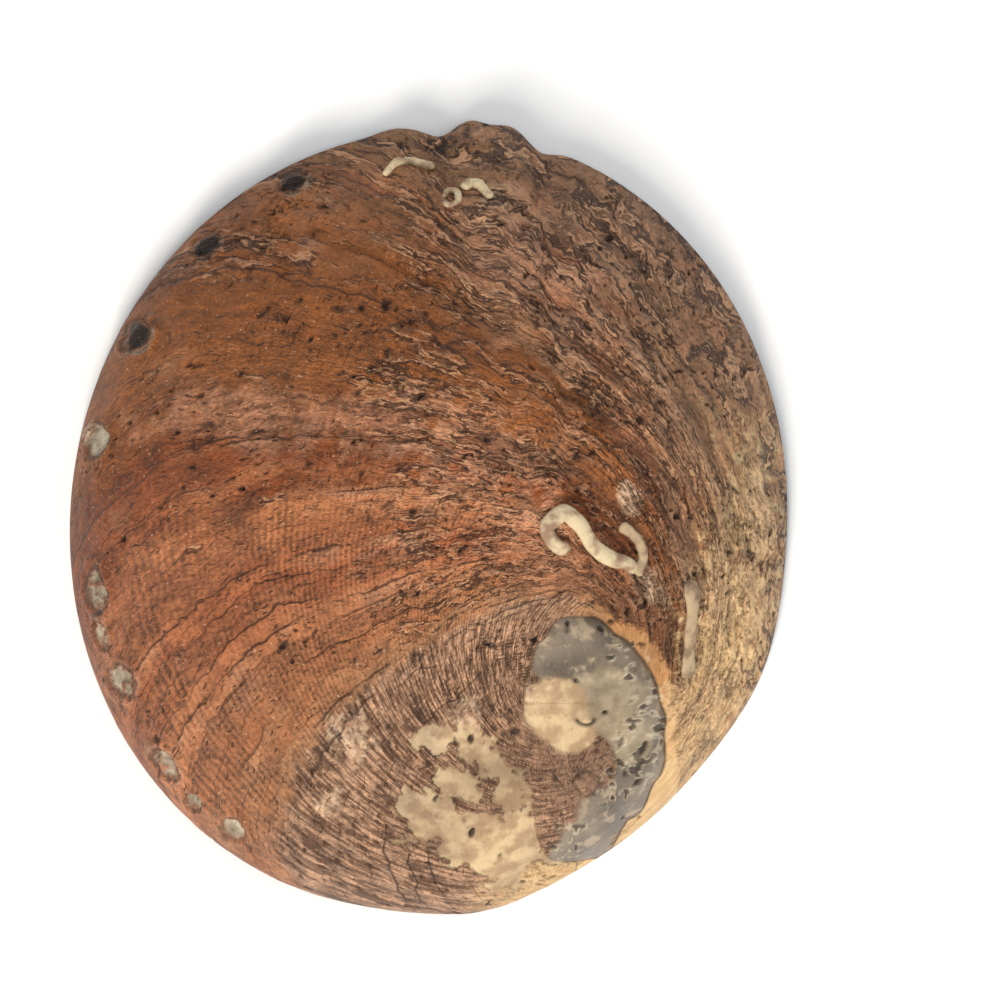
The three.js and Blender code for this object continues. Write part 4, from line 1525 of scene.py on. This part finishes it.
@dataclass(frozen=True)
class WeatheredFinish:
    """The outside: red-brown bands of growth, worn and crusted in places."""

    streaks: bpy.types.NodeTree
    layers: bpy.types.NodeTree
    cracks: bpy.types.NodeTree
    cord_step: float
    name: str = "weathered_shell"

    def grown(
        self, tree: Tree, group: bpy.types.NodeTree, across: float, along: float, shift: float
    ) -> bpy.types.Node:
        """Adds a group that follows the growth lines.

        Args:
            tree: The material's tree.
            group: The group to add.
            across: How fine its pattern is across the growth lines.
            along: How short it is along them.
            shift: Which of many alike patterns is taken.

        Returns:
            The group's node.
        """
        node = tree.add("Group")
        node.node_tree = group
        tree.put(node.inputs["Age"], tree.read("age"))
        tree.put(node.inputs["Cord"], tree.read("cord"))
        for name, value in (("Across", across), ("Along", along), ("Shift", shift)):
            node.inputs[name].default_value = value
        return node

    def streak(self, tree: Tree, across: float, along: float, shift: float) -> bpy.types.NodeSocket:
        """Returns streaks along the growth lines."""
        return self.grown(tree, self.streaks, across, along, shift).outputs["Streak"]

    def fade(self, tree: Tree, base: object, name: str, share: float, colour: object) -> bpy.types.NodeSocket:
        """Returns the colour with another laid over it where a region is."""
        return tree.mix(tree.math("MULTIPLY", tree.read(name), share), base, colour)

    def ground(self, tree: Tree, seen: dict[str, object]) -> bpy.types.NodeSocket:
        """Colours the shell where it is neither worn smooth nor crusted.

        Args:
            tree: The material's tree.
            seen: Patterns by name.

        Returns:
            The colour.
        """
        age = tree.math("ADD", tree.read("age"), tree.math("MULTIPLY_ADD", seen["broad"], 0.16, -0.08))
        base = tree.ramp(tree.math("MULTIPLY", age, 0.4), BANDS)
        base = tree.mix(tree.span(seen["patch"], 0.6, 0.85, 0.0, 0.55), base, srgb(146, 108, 72))
        base = tree.mix(tree.span(seen["patch"], 0.4, 0.15, 0.0, 0.45), base, srgb(140, 64, 32))
        dull = tree.math("MULTIPLY_ADD", seen["cloud"], 34.0, tree.read("near"))
        dull = tree.span(dull, 62.0, 34.0, 0.0, 0.5)
        fine = seen["fine"]
        base = tree.mix(dull, base, tree.mix(fine, srgb(126, 84, 54), srgb(176, 124, 84)))
        brown = tree.mix(fine, srgb(114, 80, 54), srgb(162, 118, 84))
        brown = tree.mix(tree.span(seen["cloud"], 0.5, 0.66, 0.0, 0.7), brown, srgb(170, 116, 82))
        old = tree.mix(tree.span(seen["flow"], 0.3, 0.7), srgb(98, 69, 50), srgb(178, 138, 108))
        olive = tree.mix(fine, srgb(126, 89, 56), srgb(190, 148, 102))
        olive = tree.mix(tree.span(seen["flakes"], 0.62, 0.8), olive, srgb(190, 166, 122))
        regions = (
            ("tan", 0.65, tree.mix(fine, srgb(154, 99, 66), srgb(200, 144, 108))),
            ("rusty", 0.7, tree.mix(fine, srgb(122, 64, 35), srgb(158, 98, 62))),
            ("brown", 0.85, brown),
            ("rust", 0.6, tree.mix(fine, srgb(116, 62, 33), srgb(154, 92, 56))),
            ("old", 0.9, old),
            ("olive", 0.9, olive),
            ("band", 1.0, tree.mix(fine, srgb(160, 108, 62), srgb(192, 142, 90))),
            ("peach", 1.0, tree.mix(fine, srgb(186, 146, 98), srgb(208, 176, 130))),
        )
        for name, share, colour in regions:
            base = self.fade(tree, base, name, share, colour)
        return base

    def tone(self, tree: Tree, seen: dict[str, object], whole: object) -> bpy.types.NodeSocket:
        """Gives how bright each point is beside its colour.

        Args:
            tree: The material's tree.
            seen: Patterns by name.
            whole: Where the surface isn't worn smooth.

        Returns:
            A factor around 1.
        """
        rough = (
            ("fine", 0.2),
            ("hair", 0.12),
            ("mottle", 0.5),
            ("grain", 0.42),
            ("big", 0.32),
            ("small", 0.16),
        )
        total: object = 0.0
        for name, strength in rough:
            total = tree.math("MULTIPLY_ADD", tree.math("SUBTRACT", seen[name], 0.5), strength, total)
        # Painted light and shade along the spiral cords: brighter on their ridges, darker between them.
        total = tree.math("MULTIPLY_ADD", seen["cords"], 0.25, total)
        total = tree.math("MULTIPLY", total, tree.math("MULTIPLY_ADD", whole, 0.8, 0.2))
        return tree.math("ADD", total, tree.read("shade"))

    def worn(self, tree: Tree, base: object, seen: dict[str, object]) -> bpy.types.NodeSocket:
        """Lays the worn and crusted patches over the ground.

        Args:
            tree: The material's tree.
            base: The ground's colour.
            seen: Patterns by name.

        Returns:
            The colour.
        """
        mottle = seen["mottle"]
        pearl = tree.mix(tree.span(seen["cloud"], 0.36, 0.62), srgb(80, 71, 59), srgb(122, 108, 90))
        cream = tree.mix(tree.span(mottle, 0.2, 0.8), srgb(158, 130, 96), srgb(186, 160, 122))
        cream = tree.mix(tree.span(seen["cloud"], 0.44, 0.32, 0.0, 0.6), cream, srgb(138, 110, 80))
        regions = (
            ("pink", 0.9, tree.mix(seen["flow"], srgb(128, 94, 72), srgb(164, 128, 100))),
            ("grey", 0.96, tree.mix(tree.span(mottle, 0.6, 0.9), pearl, srgb(146, 128, 104))),
            ("pale", 0.9, tree.mix(mottle, srgb(130, 114, 90), srgb(166, 148, 120))),
            ("cream", 0.97, cream),
            ("crust", 0.72, tree.mix(mottle, srgb(152, 110, 80), srgb(216, 178, 142))),
            # The white mask holds real white rims and crust, and the painted highlight on the open pores'
            # lips.
            ("white", 0.6, srgb(210, 194, 166)),
        )
        for name, share, colour in regions:
            base = self.fade(tree, base, name, share, colour)
        return base

    def patterns(self, tree: Tree, where: object) -> dict[str, object]:
        """Lays out the patterns that the colours and the relief share.

        Args:
            tree: The material's tree.
            where: The point's place on the object.

        Returns:
            The patterns by name.
        """
        big = self.grown(tree, self.layers, 11.0, 1.6, 0.0)
        small = self.grown(tree, self.layers, 42.0, 4.5, 7.0)
        torn = self.grown(tree, self.cracks, 21.0, 5.0, 3.0)
        chipped = self.grown(tree, self.cracks, 70.0, 17.0, 21.0)
        tree.put(torn.inputs["Least"], tree.math("MULTIPLY_ADD", tree.read("rugged"), -0.26, 0.68))
        tree.put(chipped.inputs["Least"], tree.math("MULTIPLY_ADD", tree.read("rugged"), -0.1, 0.6))
        large, fine = torn.outputs, chipped.outputs
        broad = self.streak(tree, 16.0, 3.0, 0.0)
        cloud = tree.noise(where, 60.0, 5.0)
        wave = tree.math("MULTIPLY", tree.read("cord"), 2 * math.pi / self.cord_step)
        cords = tree.math("COSINE", tree.math("MULTIPLY_ADD", broad, 3.0, wave))
        mid = tree.span(tree.read("age"), 1.1, 1.3, 0.12, 1.0)
        clear = tree.math("MULTIPLY", mid, tree.math("SUBTRACT", 1.0, tree.read("old")))
        clear = tree.math("MULTIPLY", clear, tree.span(cloud, 0.4, 0.62, 0.3, 1.0))
        stretched = tree.along(tree.math("MULTIPLY", tree.read("age"), 7.0), tree.read("cord"), 3.0)
        thin_line = tree.math("MULTIPLY", small.outputs["Line"], 0.7)
        return {
            "broad": broad,
            "fine": self.streak(tree, 58.0, 6.5, 4.0),
            "hair": self.streak(tree, 260.0, 26.0, 8.0),
            "flow": self.streak(tree, 9.0, 60.0, 12.0),
            "patch": tree.noise(stretched, 2.2, 5.0),
            "flakes": self.streak(tree, 30.0, 9.0, 19.0),
            "cloud": cloud,
            "mottle": tree.span(tree.noise(where, 230.0, 5.0), 0.28, 0.72),
            "grain": tree.span(tree.noise(where, 1150.0, 3.0), 0.28, 0.72),
            "big": big.outputs["Layer"],
            "small": small.outputs["Layer"],
            "line": tree.math("MAXIMUM", big.outputs["Line"], thin_line),
            "cords": tree.math("MULTIPLY", cords, clear),
            "scale": tree.math("MULTIPLY_ADD", fine["Scale"], 0.5, large["Scale"]),
            "crack": tree.math("MAXIMUM", large["Crack"], tree.math("MULTIPLY", fine["Crack"], 0.5)),
            "lip": tree.math("MAXIMUM", large["LitLip"], tree.math("MULTIPLY", fine["LitLip"], 0.6)),
            "dash": tree.math("MULTIPLY", fine["Dash"], tree.span(tree.read("old"), 1.0, 0.0)),
        }

    def marks(
        self, tree: Tree, base: object, seen: dict[str, object], whole: object, lines: object
    ) -> bpy.types.NodeSocket:
        """Lays painted shade in the hollows, gouges, lines, cracks and pits, a painted highlight on the lit
        lips, and the pores over the colour.

        Args:
            tree: The material's tree.
            base: The colour so far.
            seen: Patterns by name.
            whole: Where the surface isn't worn smooth.
            lines: The lines between layers, painted dark as shade.

        Returns:
            The colour.
        """
        rise = tree.read("rise")
        # Painted shade where the relief dips below the smooth form, and a paler tone where it stands up.
        base = tree.mix(tree.span(rise, 0.0, -0.9, 0.0, 0.6), base, srgb(62, 38, 26))
        base = tree.mix(tree.span(rise, 0.25, 0.9, 0.0, 0.3), base, srgb(204, 162, 130))
        # Painted shade in the gouges and slits.
        base = self.fade(tree, base, "gouge", 0.8, srgb(68, 45, 32))
        # Painted highlight on the lit lips of the scales.
        lit = tree.math("MULTIPLY", tree.math("MULTIPLY", seen["lip"], whole), 0.55)
        base = tree.mix(lit, base, srgb(214, 164, 124))
        # Painted shade in the lines between layers, the cracks and the dashes.
        dark = tree.math("MAXIMUM", lines, tree.math("MULTIPLY", seen["crack"], whole))
        dark = tree.math("MAXIMUM", dark, tree.math("MULTIPLY", seen["dash"], whole))
        base = tree.mix(tree.math("MULTIPLY", dark, 0.82), base, srgb(56, 33, 22))
        # Painted shade in the chips, borings, pores, pits and crevices.
        base = self.fade(tree, base, "dark", 0.92, srgb(38, 25, 18))
        filled = tree.mix(seen["mottle"], srgb(128, 108, 84), srgb(200, 184, 156))
        base = self.fade(tree, base, "fill", 1.0, filled)
        return self.fade(tree, base, "moat", 0.6, srgb(74, 60, 46))

    def make(self) -> bpy.types.Material:
        """Builds the material.

        Returns:
            The material.
        """
        material, tree, surface, where = open_material(self.name)
        seen = self.patterns(tree, where)
        smooth_parts = tree.math("MAXIMUM", tree.read("grey"), tree.read("pale"))
        shine = tree.math("MAXIMUM", smooth_parts, tree.read("fill"))
        smooth_parts = tree.math("MAXIMUM", smooth_parts, tree.read("cream"))
        calm = tree.math("MAXIMUM", tree.read("band"), tree.math("MULTIPLY", tree.read("peach"), 0.5))
        whole = tree.math("SUBTRACT", 1.0, tree.math("MAXIMUM", smooth_parts, calm))
        # Painted shadow: a dark line at the foot of each ledge's low cliff.
        off = tree.math("ABSOLUTE", tree.math("ADD", tree.read("off"), 0.12))
        ledge_shade = tree.math("SUBTRACT", 1.0, tree.span(off, 0.08, 0.32))
        ledge_shade = tree.math("MULTIPLY", ledge_shade, tree.read("ledge_shade"))
        # The lines between layers carry painted shade.
        lines = tree.math("MULTIPLY", tree.math("MAXIMUM", seen["line"], ledge_shade), whole)
        base = self.worn(tree, self.ground(tree, seen), seen)
        base = tree.add("HueSaturation", Color=base, Value=self.tone(tree, seen, whole)).outputs[0]
        base = self.marks(tree, base, seen, whole, lines)
        # Painted glints: tiny bright specks where the surface would catch the light.
        painted_glint = tree.span(tree.noise(where, 1500.0, 1.0), 0.72, 0.78, 0.0, 0.75)
        base = tree.mix(tree.math("MULTIPLY", painted_glint, whole), base, srgb(222, 186, 156))
        # Painted shadow: black down the walls of the open pores.
        base = tree.mix(tree.span(tree.read("deep"), 0.1, 0.6), base, srgb(20, 15, 12))
        tree.put(surface.inputs["Base Color"], base)
        tree.put(surface.inputs["Roughness"], tree.span(shine, 0.0, 1.0, 0.56, 0.36))
        surface.inputs["Specular IOR Level"].default_value = 0.32
        tree.put(surface.inputs["Normal"], self.bumps(tree, seen, whole, lines))
        return material

    def bumps(
        self, tree: Tree, seen: dict[str, object], whole: object, lines: object
    ) -> bpy.types.NodeSocket:
        """Adds the relief that is too fine for the mesh.

        Args:
            tree: The material's tree.
            seen: Patterns by name.
            whole: Where the surface isn't worn smooth.
            lines: The dark lines between layers.

        Returns:
            The bent direction.
        """
        parts = (("hair", 0.35), ("fine", 0.4), ("grain", 1.1), ("mottle", 1.1), ("big", 0.8), ("small", 0.8))
        high: object = 0.0
        for name, strength in parts:
            high = tree.math("MULTIPLY_ADD", seen[name], strength, high)
        corded = tree.math("MULTIPLY", seen["cords"], 0.3)
        high = tree.math("ADD", high, tree.math("MULTIPLY_ADD", lines, -1.2, corded))
        high = tree.math("MULTIPLY_ADD", seen["scale"], 1.3, high)
        high = tree.math("MULTIPLY_ADD", tree.math("MAXIMUM", seen["crack"], seen["dash"]), -1.3, high)
        high = tree.math("MULTIPLY", high, tree.math("MULTIPLY_ADD", whole, 0.88, 0.12))
        return tree.add("Bump", Strength=0.85, Distance=0.0004, Height=high).outputs[0]


BANDS = (
    (0.0, srgb(134, 94, 58)),
    (0.06, srgb(124, 83, 50)),
    (0.12, srgb(134, 84, 49)),
    (0.19, srgb(126, 72, 30)),
    (0.28, srgb(130, 73, 29)),
    (0.36, srgb(140, 82, 38)),
    (0.42, srgb(124, 63, 23)),
    (0.47, srgb(122, 61, 24)),
    (0.51, srgb(162, 101, 61)),
    (0.54, srgb(158, 98, 60)),
    (0.6, srgb(140, 79, 46)),
    (0.66, srgb(152, 96, 61)),
    (0.72, srgb(146, 91, 56)),
    (0.78, srgb(158, 110, 74)),
    (1.0, srgb(150, 110, 78)),
)


@dataclass(frozen=True)
class NacreFinish:
    """The inside: silvery mother of pearl with faint pink and green, a muscle scar and a brown lip."""

    name: str = "mother_of_pearl"

    def make(self) -> bpy.types.Material:
        """Builds the material.

        Returns:
            The material.
        """
        material, tree, surface, where = open_material(self.name)
        grown = tree.along(tree.math("MULTIPLY", tree.read("age"), 3.0), tree.read("cord"))
        swirl = tree.noise(grown, 2.4, 4.0)
        sheen = tree.ramp(
            tree.math("FRACT", tree.math("MULTIPLY", swirl, 5.0)),
            (
                (0.0, srgb(196, 204, 206)),
                (0.2, srgb(206, 184, 192)),
                (0.4, srgb(214, 206, 190)),
                (0.6, srgb(168, 198, 186)),
                (0.8, srgb(170, 188, 206)),
                (1.0, srgb(196, 204, 206)),
            ),
        )
        silky = tree.span(tree.noise(where, 28.0, 3.0), 0.35, 0.65, 0.25, 0.8)
        base = tree.mix(silky, srgb(208, 206, 198), sheen)
        scar = tree.mix(tree.noise(where, 160.0, 5.0), srgb(112, 142, 132), srgb(196, 178, 160))
        base = tree.mix(tree.math("MULTIPLY", tree.read("scar"), 0.75), base, scar)
        base = tree.mix(tree.math("MULTIPLY", tree.read("edge"), 0.4), base, srgb(122, 106, 84))
        lip = tree.math("ADD", tree.read("share"), tree.math("MULTIPLY", tree.noise(where, 90.0, 4.0), 0.012))
        brown = tree.mix(tree.noise(where, 300.0, 3.0), srgb(124, 62, 46), srgb(170, 104, 80))
        base = tree.mix(tree.span(lip, 0.978, 0.99), base, brown)
        tree.put(surface.inputs["Base Color"], base)
        rough = tree.math("MULTIPLY_ADD", tree.read("scar"), 0.18, 0.24)
        tree.put(surface.inputs["Roughness"], rough)
        surface.inputs["Metallic"].default_value = 0.15
        surface.inputs["Coat Weight"].default_value = 0.35
        surface.inputs["Coat Roughness"].default_value = 0.15
        bump = tree.add("Bump", Strength=0.2, Distance=0.0003, Height=tree.noise(where, 420.0, 4.0))
        tree.put(surface.inputs["Normal"], bump.outputs[0])
        return material


@dataclass(frozen=True)
class ChalkFinish:
    """The worm tubes: rough white lime, greyer in patches."""

    name: str = "worm_lime"
    light: Colour = srgb(202, 181, 144)
    dark: Colour = srgb(142, 112, 88)

    def make(self) -> bpy.types.Material:
        """Builds the material.

        Returns:
            The material.
        """
        material, tree, surface, where = open_material(self.name)
        grain = tree.noise(where, 900.0, 4.0)
        tone_patch = tree.noise(where, 220.0, 3.0)
        base = tree.mix(tree.span(tone_patch, 0.34, 0.56), self.dark, self.light)
        tree.put(surface.inputs["Base Color"], base)
        surface.inputs["Roughness"].default_value = 0.8
        bump = tree.add("Bump", Strength=0.6, Distance=0.0003, Height=grain)
        tree.put(surface.inputs["Normal"], bump.outputs[0])
        return material


@dataclass
class WormTube:
    """A lime tube of a sea worm, lying on the dome. Its route is seen from above, in millimetres."""

    name: str
    radius: float
    route: tuple[tuple[float, float], ...]
    flat: float = 1.0
    is_worn: bool = False
    sides: int = 14
    steps: int = 90
    mean_of: int = 17

    def course(self) -> Array:
        """Draws a smooth curve through the points of the route.

        Returns:
            The curve's points, seen from above, in millimetres.
        """
        knots = np.array(self.route)
        t = np.linspace(0, len(knots) - 1, self.steps)
        i = np.clip(t.astype(int), 0, len(knots) - 2)
        f = (t - i)[:, None]
        before, after = knots[np.maximum(i - 1, 0)], knots[np.minimum(i + 2, len(knots) - 1)]
        a, b = knots[i], knots[i + 1]
        bend = (2 * before - 5 * a + 4 * b - after) * f**2 + (3 * a - before - 3 * b + after) * f**3
        return 0.5 * (2 * a + (b - before) * f + bend)

    def laid(self, body: ShellBody) -> tuple[Array, Array, Array]:
        """Lays the middle line of the tube on the shell.

        Args:
            body: The shell that carries it.

        Returns:
            The line's points, the directions out of the shell there, and how thick the tube is.
        """
        x, y = self.course().T
        relief = np.pad(body.skin.detail(x, y, body.skin.regions(x, y)), self.mean_of // 2, "edge")
        rise = np.convolve(relief, np.ones(self.mean_of) / self.mean_of, "valid")
        outward = body.normals(x, y)
        along = np.linspace(0, 1, self.steps)
        ends = smooth(np.minimum(along, 1 - along) / 0.07)
        uneven = 0.88 + 0.24 * body.skin.noise.at(along * 6, x / 9, 7)
        thick = self.radius * uneven * (0.35 + 0.65 * ends)
        centre = np.stack([x, y, body.form.outer(x, y)], 1)
        centre = centre + outward * (rise + thick * (0.35 * ends - 0.5 * (1 - ends)))[:, None]
        return centre + np.array([*body.form.centring, 0.0]), outward, thick

    def rings(self, body: ShellBody) -> Array:
        """Builds the rings of points round the middle line.

        Args:
            body: The shell that carries the tube.

        Returns:
            The points, ring by ring, in millimetres.
        """
        centre, outward, thick = self.laid(body)
        along = np.linspace(0, 1, self.steps)
        forward = np.gradient(centre, axis=0)
        forward /= np.linalg.norm(forward, axis=1)[:, None]
        across = np.cross(forward, outward)
        across /= np.linalg.norm(across, axis=1)[:, None]
        up = np.cross(across, forward)
        points = []
        for k in range(self.sides):
            turn = 2 * math.pi * k / self.sides
            lump = body.skin.noise.at(along * 13, np.full_like(along, k * 0.7), len(self.route))
            bumpy = thick * (1 + 0.12 * lump)
            aside = across * (bumpy * math.cos(turn))[:, None]
            lifted = up * (bumpy * math.sin(turn) * self.flat)[:, None]
            points.append(centre + aside + lifted)
        return np.stack(points, 1).reshape(-1, 3)

    def build(self, body: ShellBody) -> bpy.types.Object:
        """Builds the tube on the shell.

        Args:
            body: The shell that carries it.

        Returns:
            The tube.
        """
        grid = self.rings(body)
        faces = []
        for s in range(self.steps - 1):
            for k in range(self.sides):
                n = (k + 1) % self.sides
                here, there = s * self.sides, (s + 1) * self.sides
                faces.append((here + k, here + n, there + n, there + k))
        faces.append(tuple(reversed(range(self.sides))))
        faces.append(tuple(range((self.steps - 1) * self.sides, self.steps * self.sides)))
        mesh = bpy.data.meshes.new(self.name)
        mesh.from_pydata((grid * MM).tolist(), [], faces)
        mesh.polygons.foreach_set("use_smooth", np.ones(len(faces), bool))
        mesh.validate()
        tube = bpy.data.objects.new(self.name, mesh)
        bpy.context.collection.objects.link(tube)
        return tube


@dataclass
class AbaloneShell:
    """The whole shell: both sides of its wall and the worm tubes on it."""

    form: ShellForm = field(default_factory=ShellForm)
    tubes: tuple[WormTube, ...] = (
        WormTube(
            "worm_tube_wavy",
            1.75,
            (
                (30.1, -6), (26.8, -4.9), (25, -1.5), (28.2, 1.4), (31.4, -0.5),
                (34.3, -5.1), (38.5, -8.1), (41.3, -8.7), (44.2, -10.9),
            ),
            0.58,
        ),
        WormTube("worm_tube_arm", 1.5, ((43.9, -11.4), (45.4, -7.7), (44.4, -4.1), (40.6, -1)), 0.5, True),
        WormTube("worm_tube_side", 2.0, ((54.6, -12.4), (55.2, -19.5), (55, -27.5), (54.8, -33)), 0.38, True),
        WormTube("worm_tube_crescent", 1.05, ((-9, 73.2), (-6.5, 75.8), (-3.2, 76.4), (1.1, 75))),
        WormTube(
            "worm_tube_ring",
            0.75,
            ((3.9, 67.9), (4.7, 69.4), (6.5, 69), (6.7, 67.1), (5.4, 66), (4.1, 66.7)),
        ),
        WormTube("worm_tube_cluster", 1.3, ((7.7, 69.9), (9.5, 71.2), (11.6, 69.9), (13.3, 67.7)), 0.8),
    )

    def build(self) -> list[bpy.types.Object]:
        """Builds and dresses every piece.

        Returns:
            The pieces.
        """
        skin = Skin(self.form)
        body = ShellBody(self.form, skin)
        mesh = body.bored()
        LOG.info("wall: %d faces", len(mesh.polygons))
        pieces = body.parts(mesh)
        bpy.data.meshes.remove(mesh)
        groups = (StreakGroup().make(), LedgeGroup().make(), CrackGroup().make())
        weathered = WeatheredFinish(*groups, skin.cord_step).make()
        for piece in pieces[:-1]:
            piece.data.materials.append(weathered)
        pieces[-1].data.materials.append(NacreFinish().make())
        chalk = ChalkFinish().make()
        worn_chalk = ChalkFinish("worn_worm_lime", srgb(172, 148, 114), srgb(126, 100, 78)).make()
        for tube in self.tubes:
            made = tube.build(body)
            made.data.materials.append(worn_chalk if tube.is_worn else chalk)
            pieces.append(made)
        for piece in pieces:
            self.declare(piece)
            LOG.info("%s: %d faces", piece.name, len(piece.data.polygons))
        return pieces

    def declare(self, piece: bpy.types.Object) -> None:
        """Ties a piece to the solid that it stands for."""
        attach(piece, "root")
        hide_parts(NODE)


@dataclass(frozen=True)
class Studio:
    """The table, the lights and the camera, in metres."""

    aim: tuple[float, float] = (0.0154, 0.0039)
    seen_width: float = 0.2151
    camera_height: float = 1.5

    def build(self) -> None:
        """Sets the table, the lights and the camera."""
        self.table()
        self.light("key", (-0.25, -0.8, 0.85), 0.4, 15.0, (1.0, 0.96, 0.9))
        self.light("fill", (0.9, 0.2, 0.9), 1.0, 5.0, (0.95, 0.97, 1.0))
        self.light("back", (-0.4, 0.9, 0.7), 0.8, 3.0, (1.0, 1.0, 1.0))
        world = bpy.data.worlds.new("room")
        world.use_nodes = True
        world.node_tree.nodes["Background"].inputs["Color"].default_value = (0.95, 0.97, 1.0, 1.0)
        world.node_tree.nodes["Background"].inputs["Strength"].default_value = 0.5
        bpy.context.scene.world = world
        self.camera()

    def table(self) -> None:
        """Lays a plain pale table under the shell."""
        mesh = bpy.data.meshes.new("table")
        mesh.from_pydata([(-3, -3, 0), (3, -3, 0), (3, 3, 0), (-3, 3, 0)], [], [(0, 1, 2, 3)])
        table = bpy.data.objects.new("table", mesh)
        bpy.context.collection.objects.link(table)
        material = bpy.data.materials.new("table_white")
        material.use_nodes = True
        surface = material.node_tree.nodes["Principled BSDF"]
        surface.inputs["Base Color"].default_value = (0.86, 0.86, 0.85, 1.0)
        surface.inputs["Roughness"].default_value = 0.9
        mesh.materials.append(material)

    def light(
        self, name: str, place: tuple[float, float, float], size: float, power: float, tint: Colour
    ) -> None:
        """Hangs a square lamp that faces the shell.

        Args:
            name: The lamp's name.
            place: Where it hangs.
            size: Its side.
            power: Its power, in watts.
            tint: Its colour.
        """
        data = bpy.data.lights.new(name, "AREA")
        data.size, data.energy, data.color = size, power, tint
        lamp = bpy.data.objects.new(name, data)
        lamp.location = place
        lamp.rotation_euler = (Vector((0, 0, 0.02)) - Vector(place)).to_track_quat("-Z", "Y").to_euler()
        bpy.context.collection.objects.link(lamp)

    def camera(self) -> None:
        """Hangs the camera straight above, with the front edge at the top of the picture."""
        data = bpy.data.cameras.new("camera")
        data.sensor_width = 36.0
        data.lens = 36.0 * self.camera_height / self.seen_width
        camera = bpy.data.objects.new("camera", data)
        camera.location = (*self.aim, self.camera_height)
        bpy.context.collection.objects.link(camera)
        bpy.context.scene.camera = camera


def main() -> None:
    """Builds the shell, then the studio."""
    logging.basicConfig(level=logging.INFO, format="%(message)s")
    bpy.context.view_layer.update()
    AbaloneShell().build()
    Studio().build()
    scene = bpy.context.scene
    scene.view_settings.view_transform = "Standard"


if __name__ == "__main__":
    main()
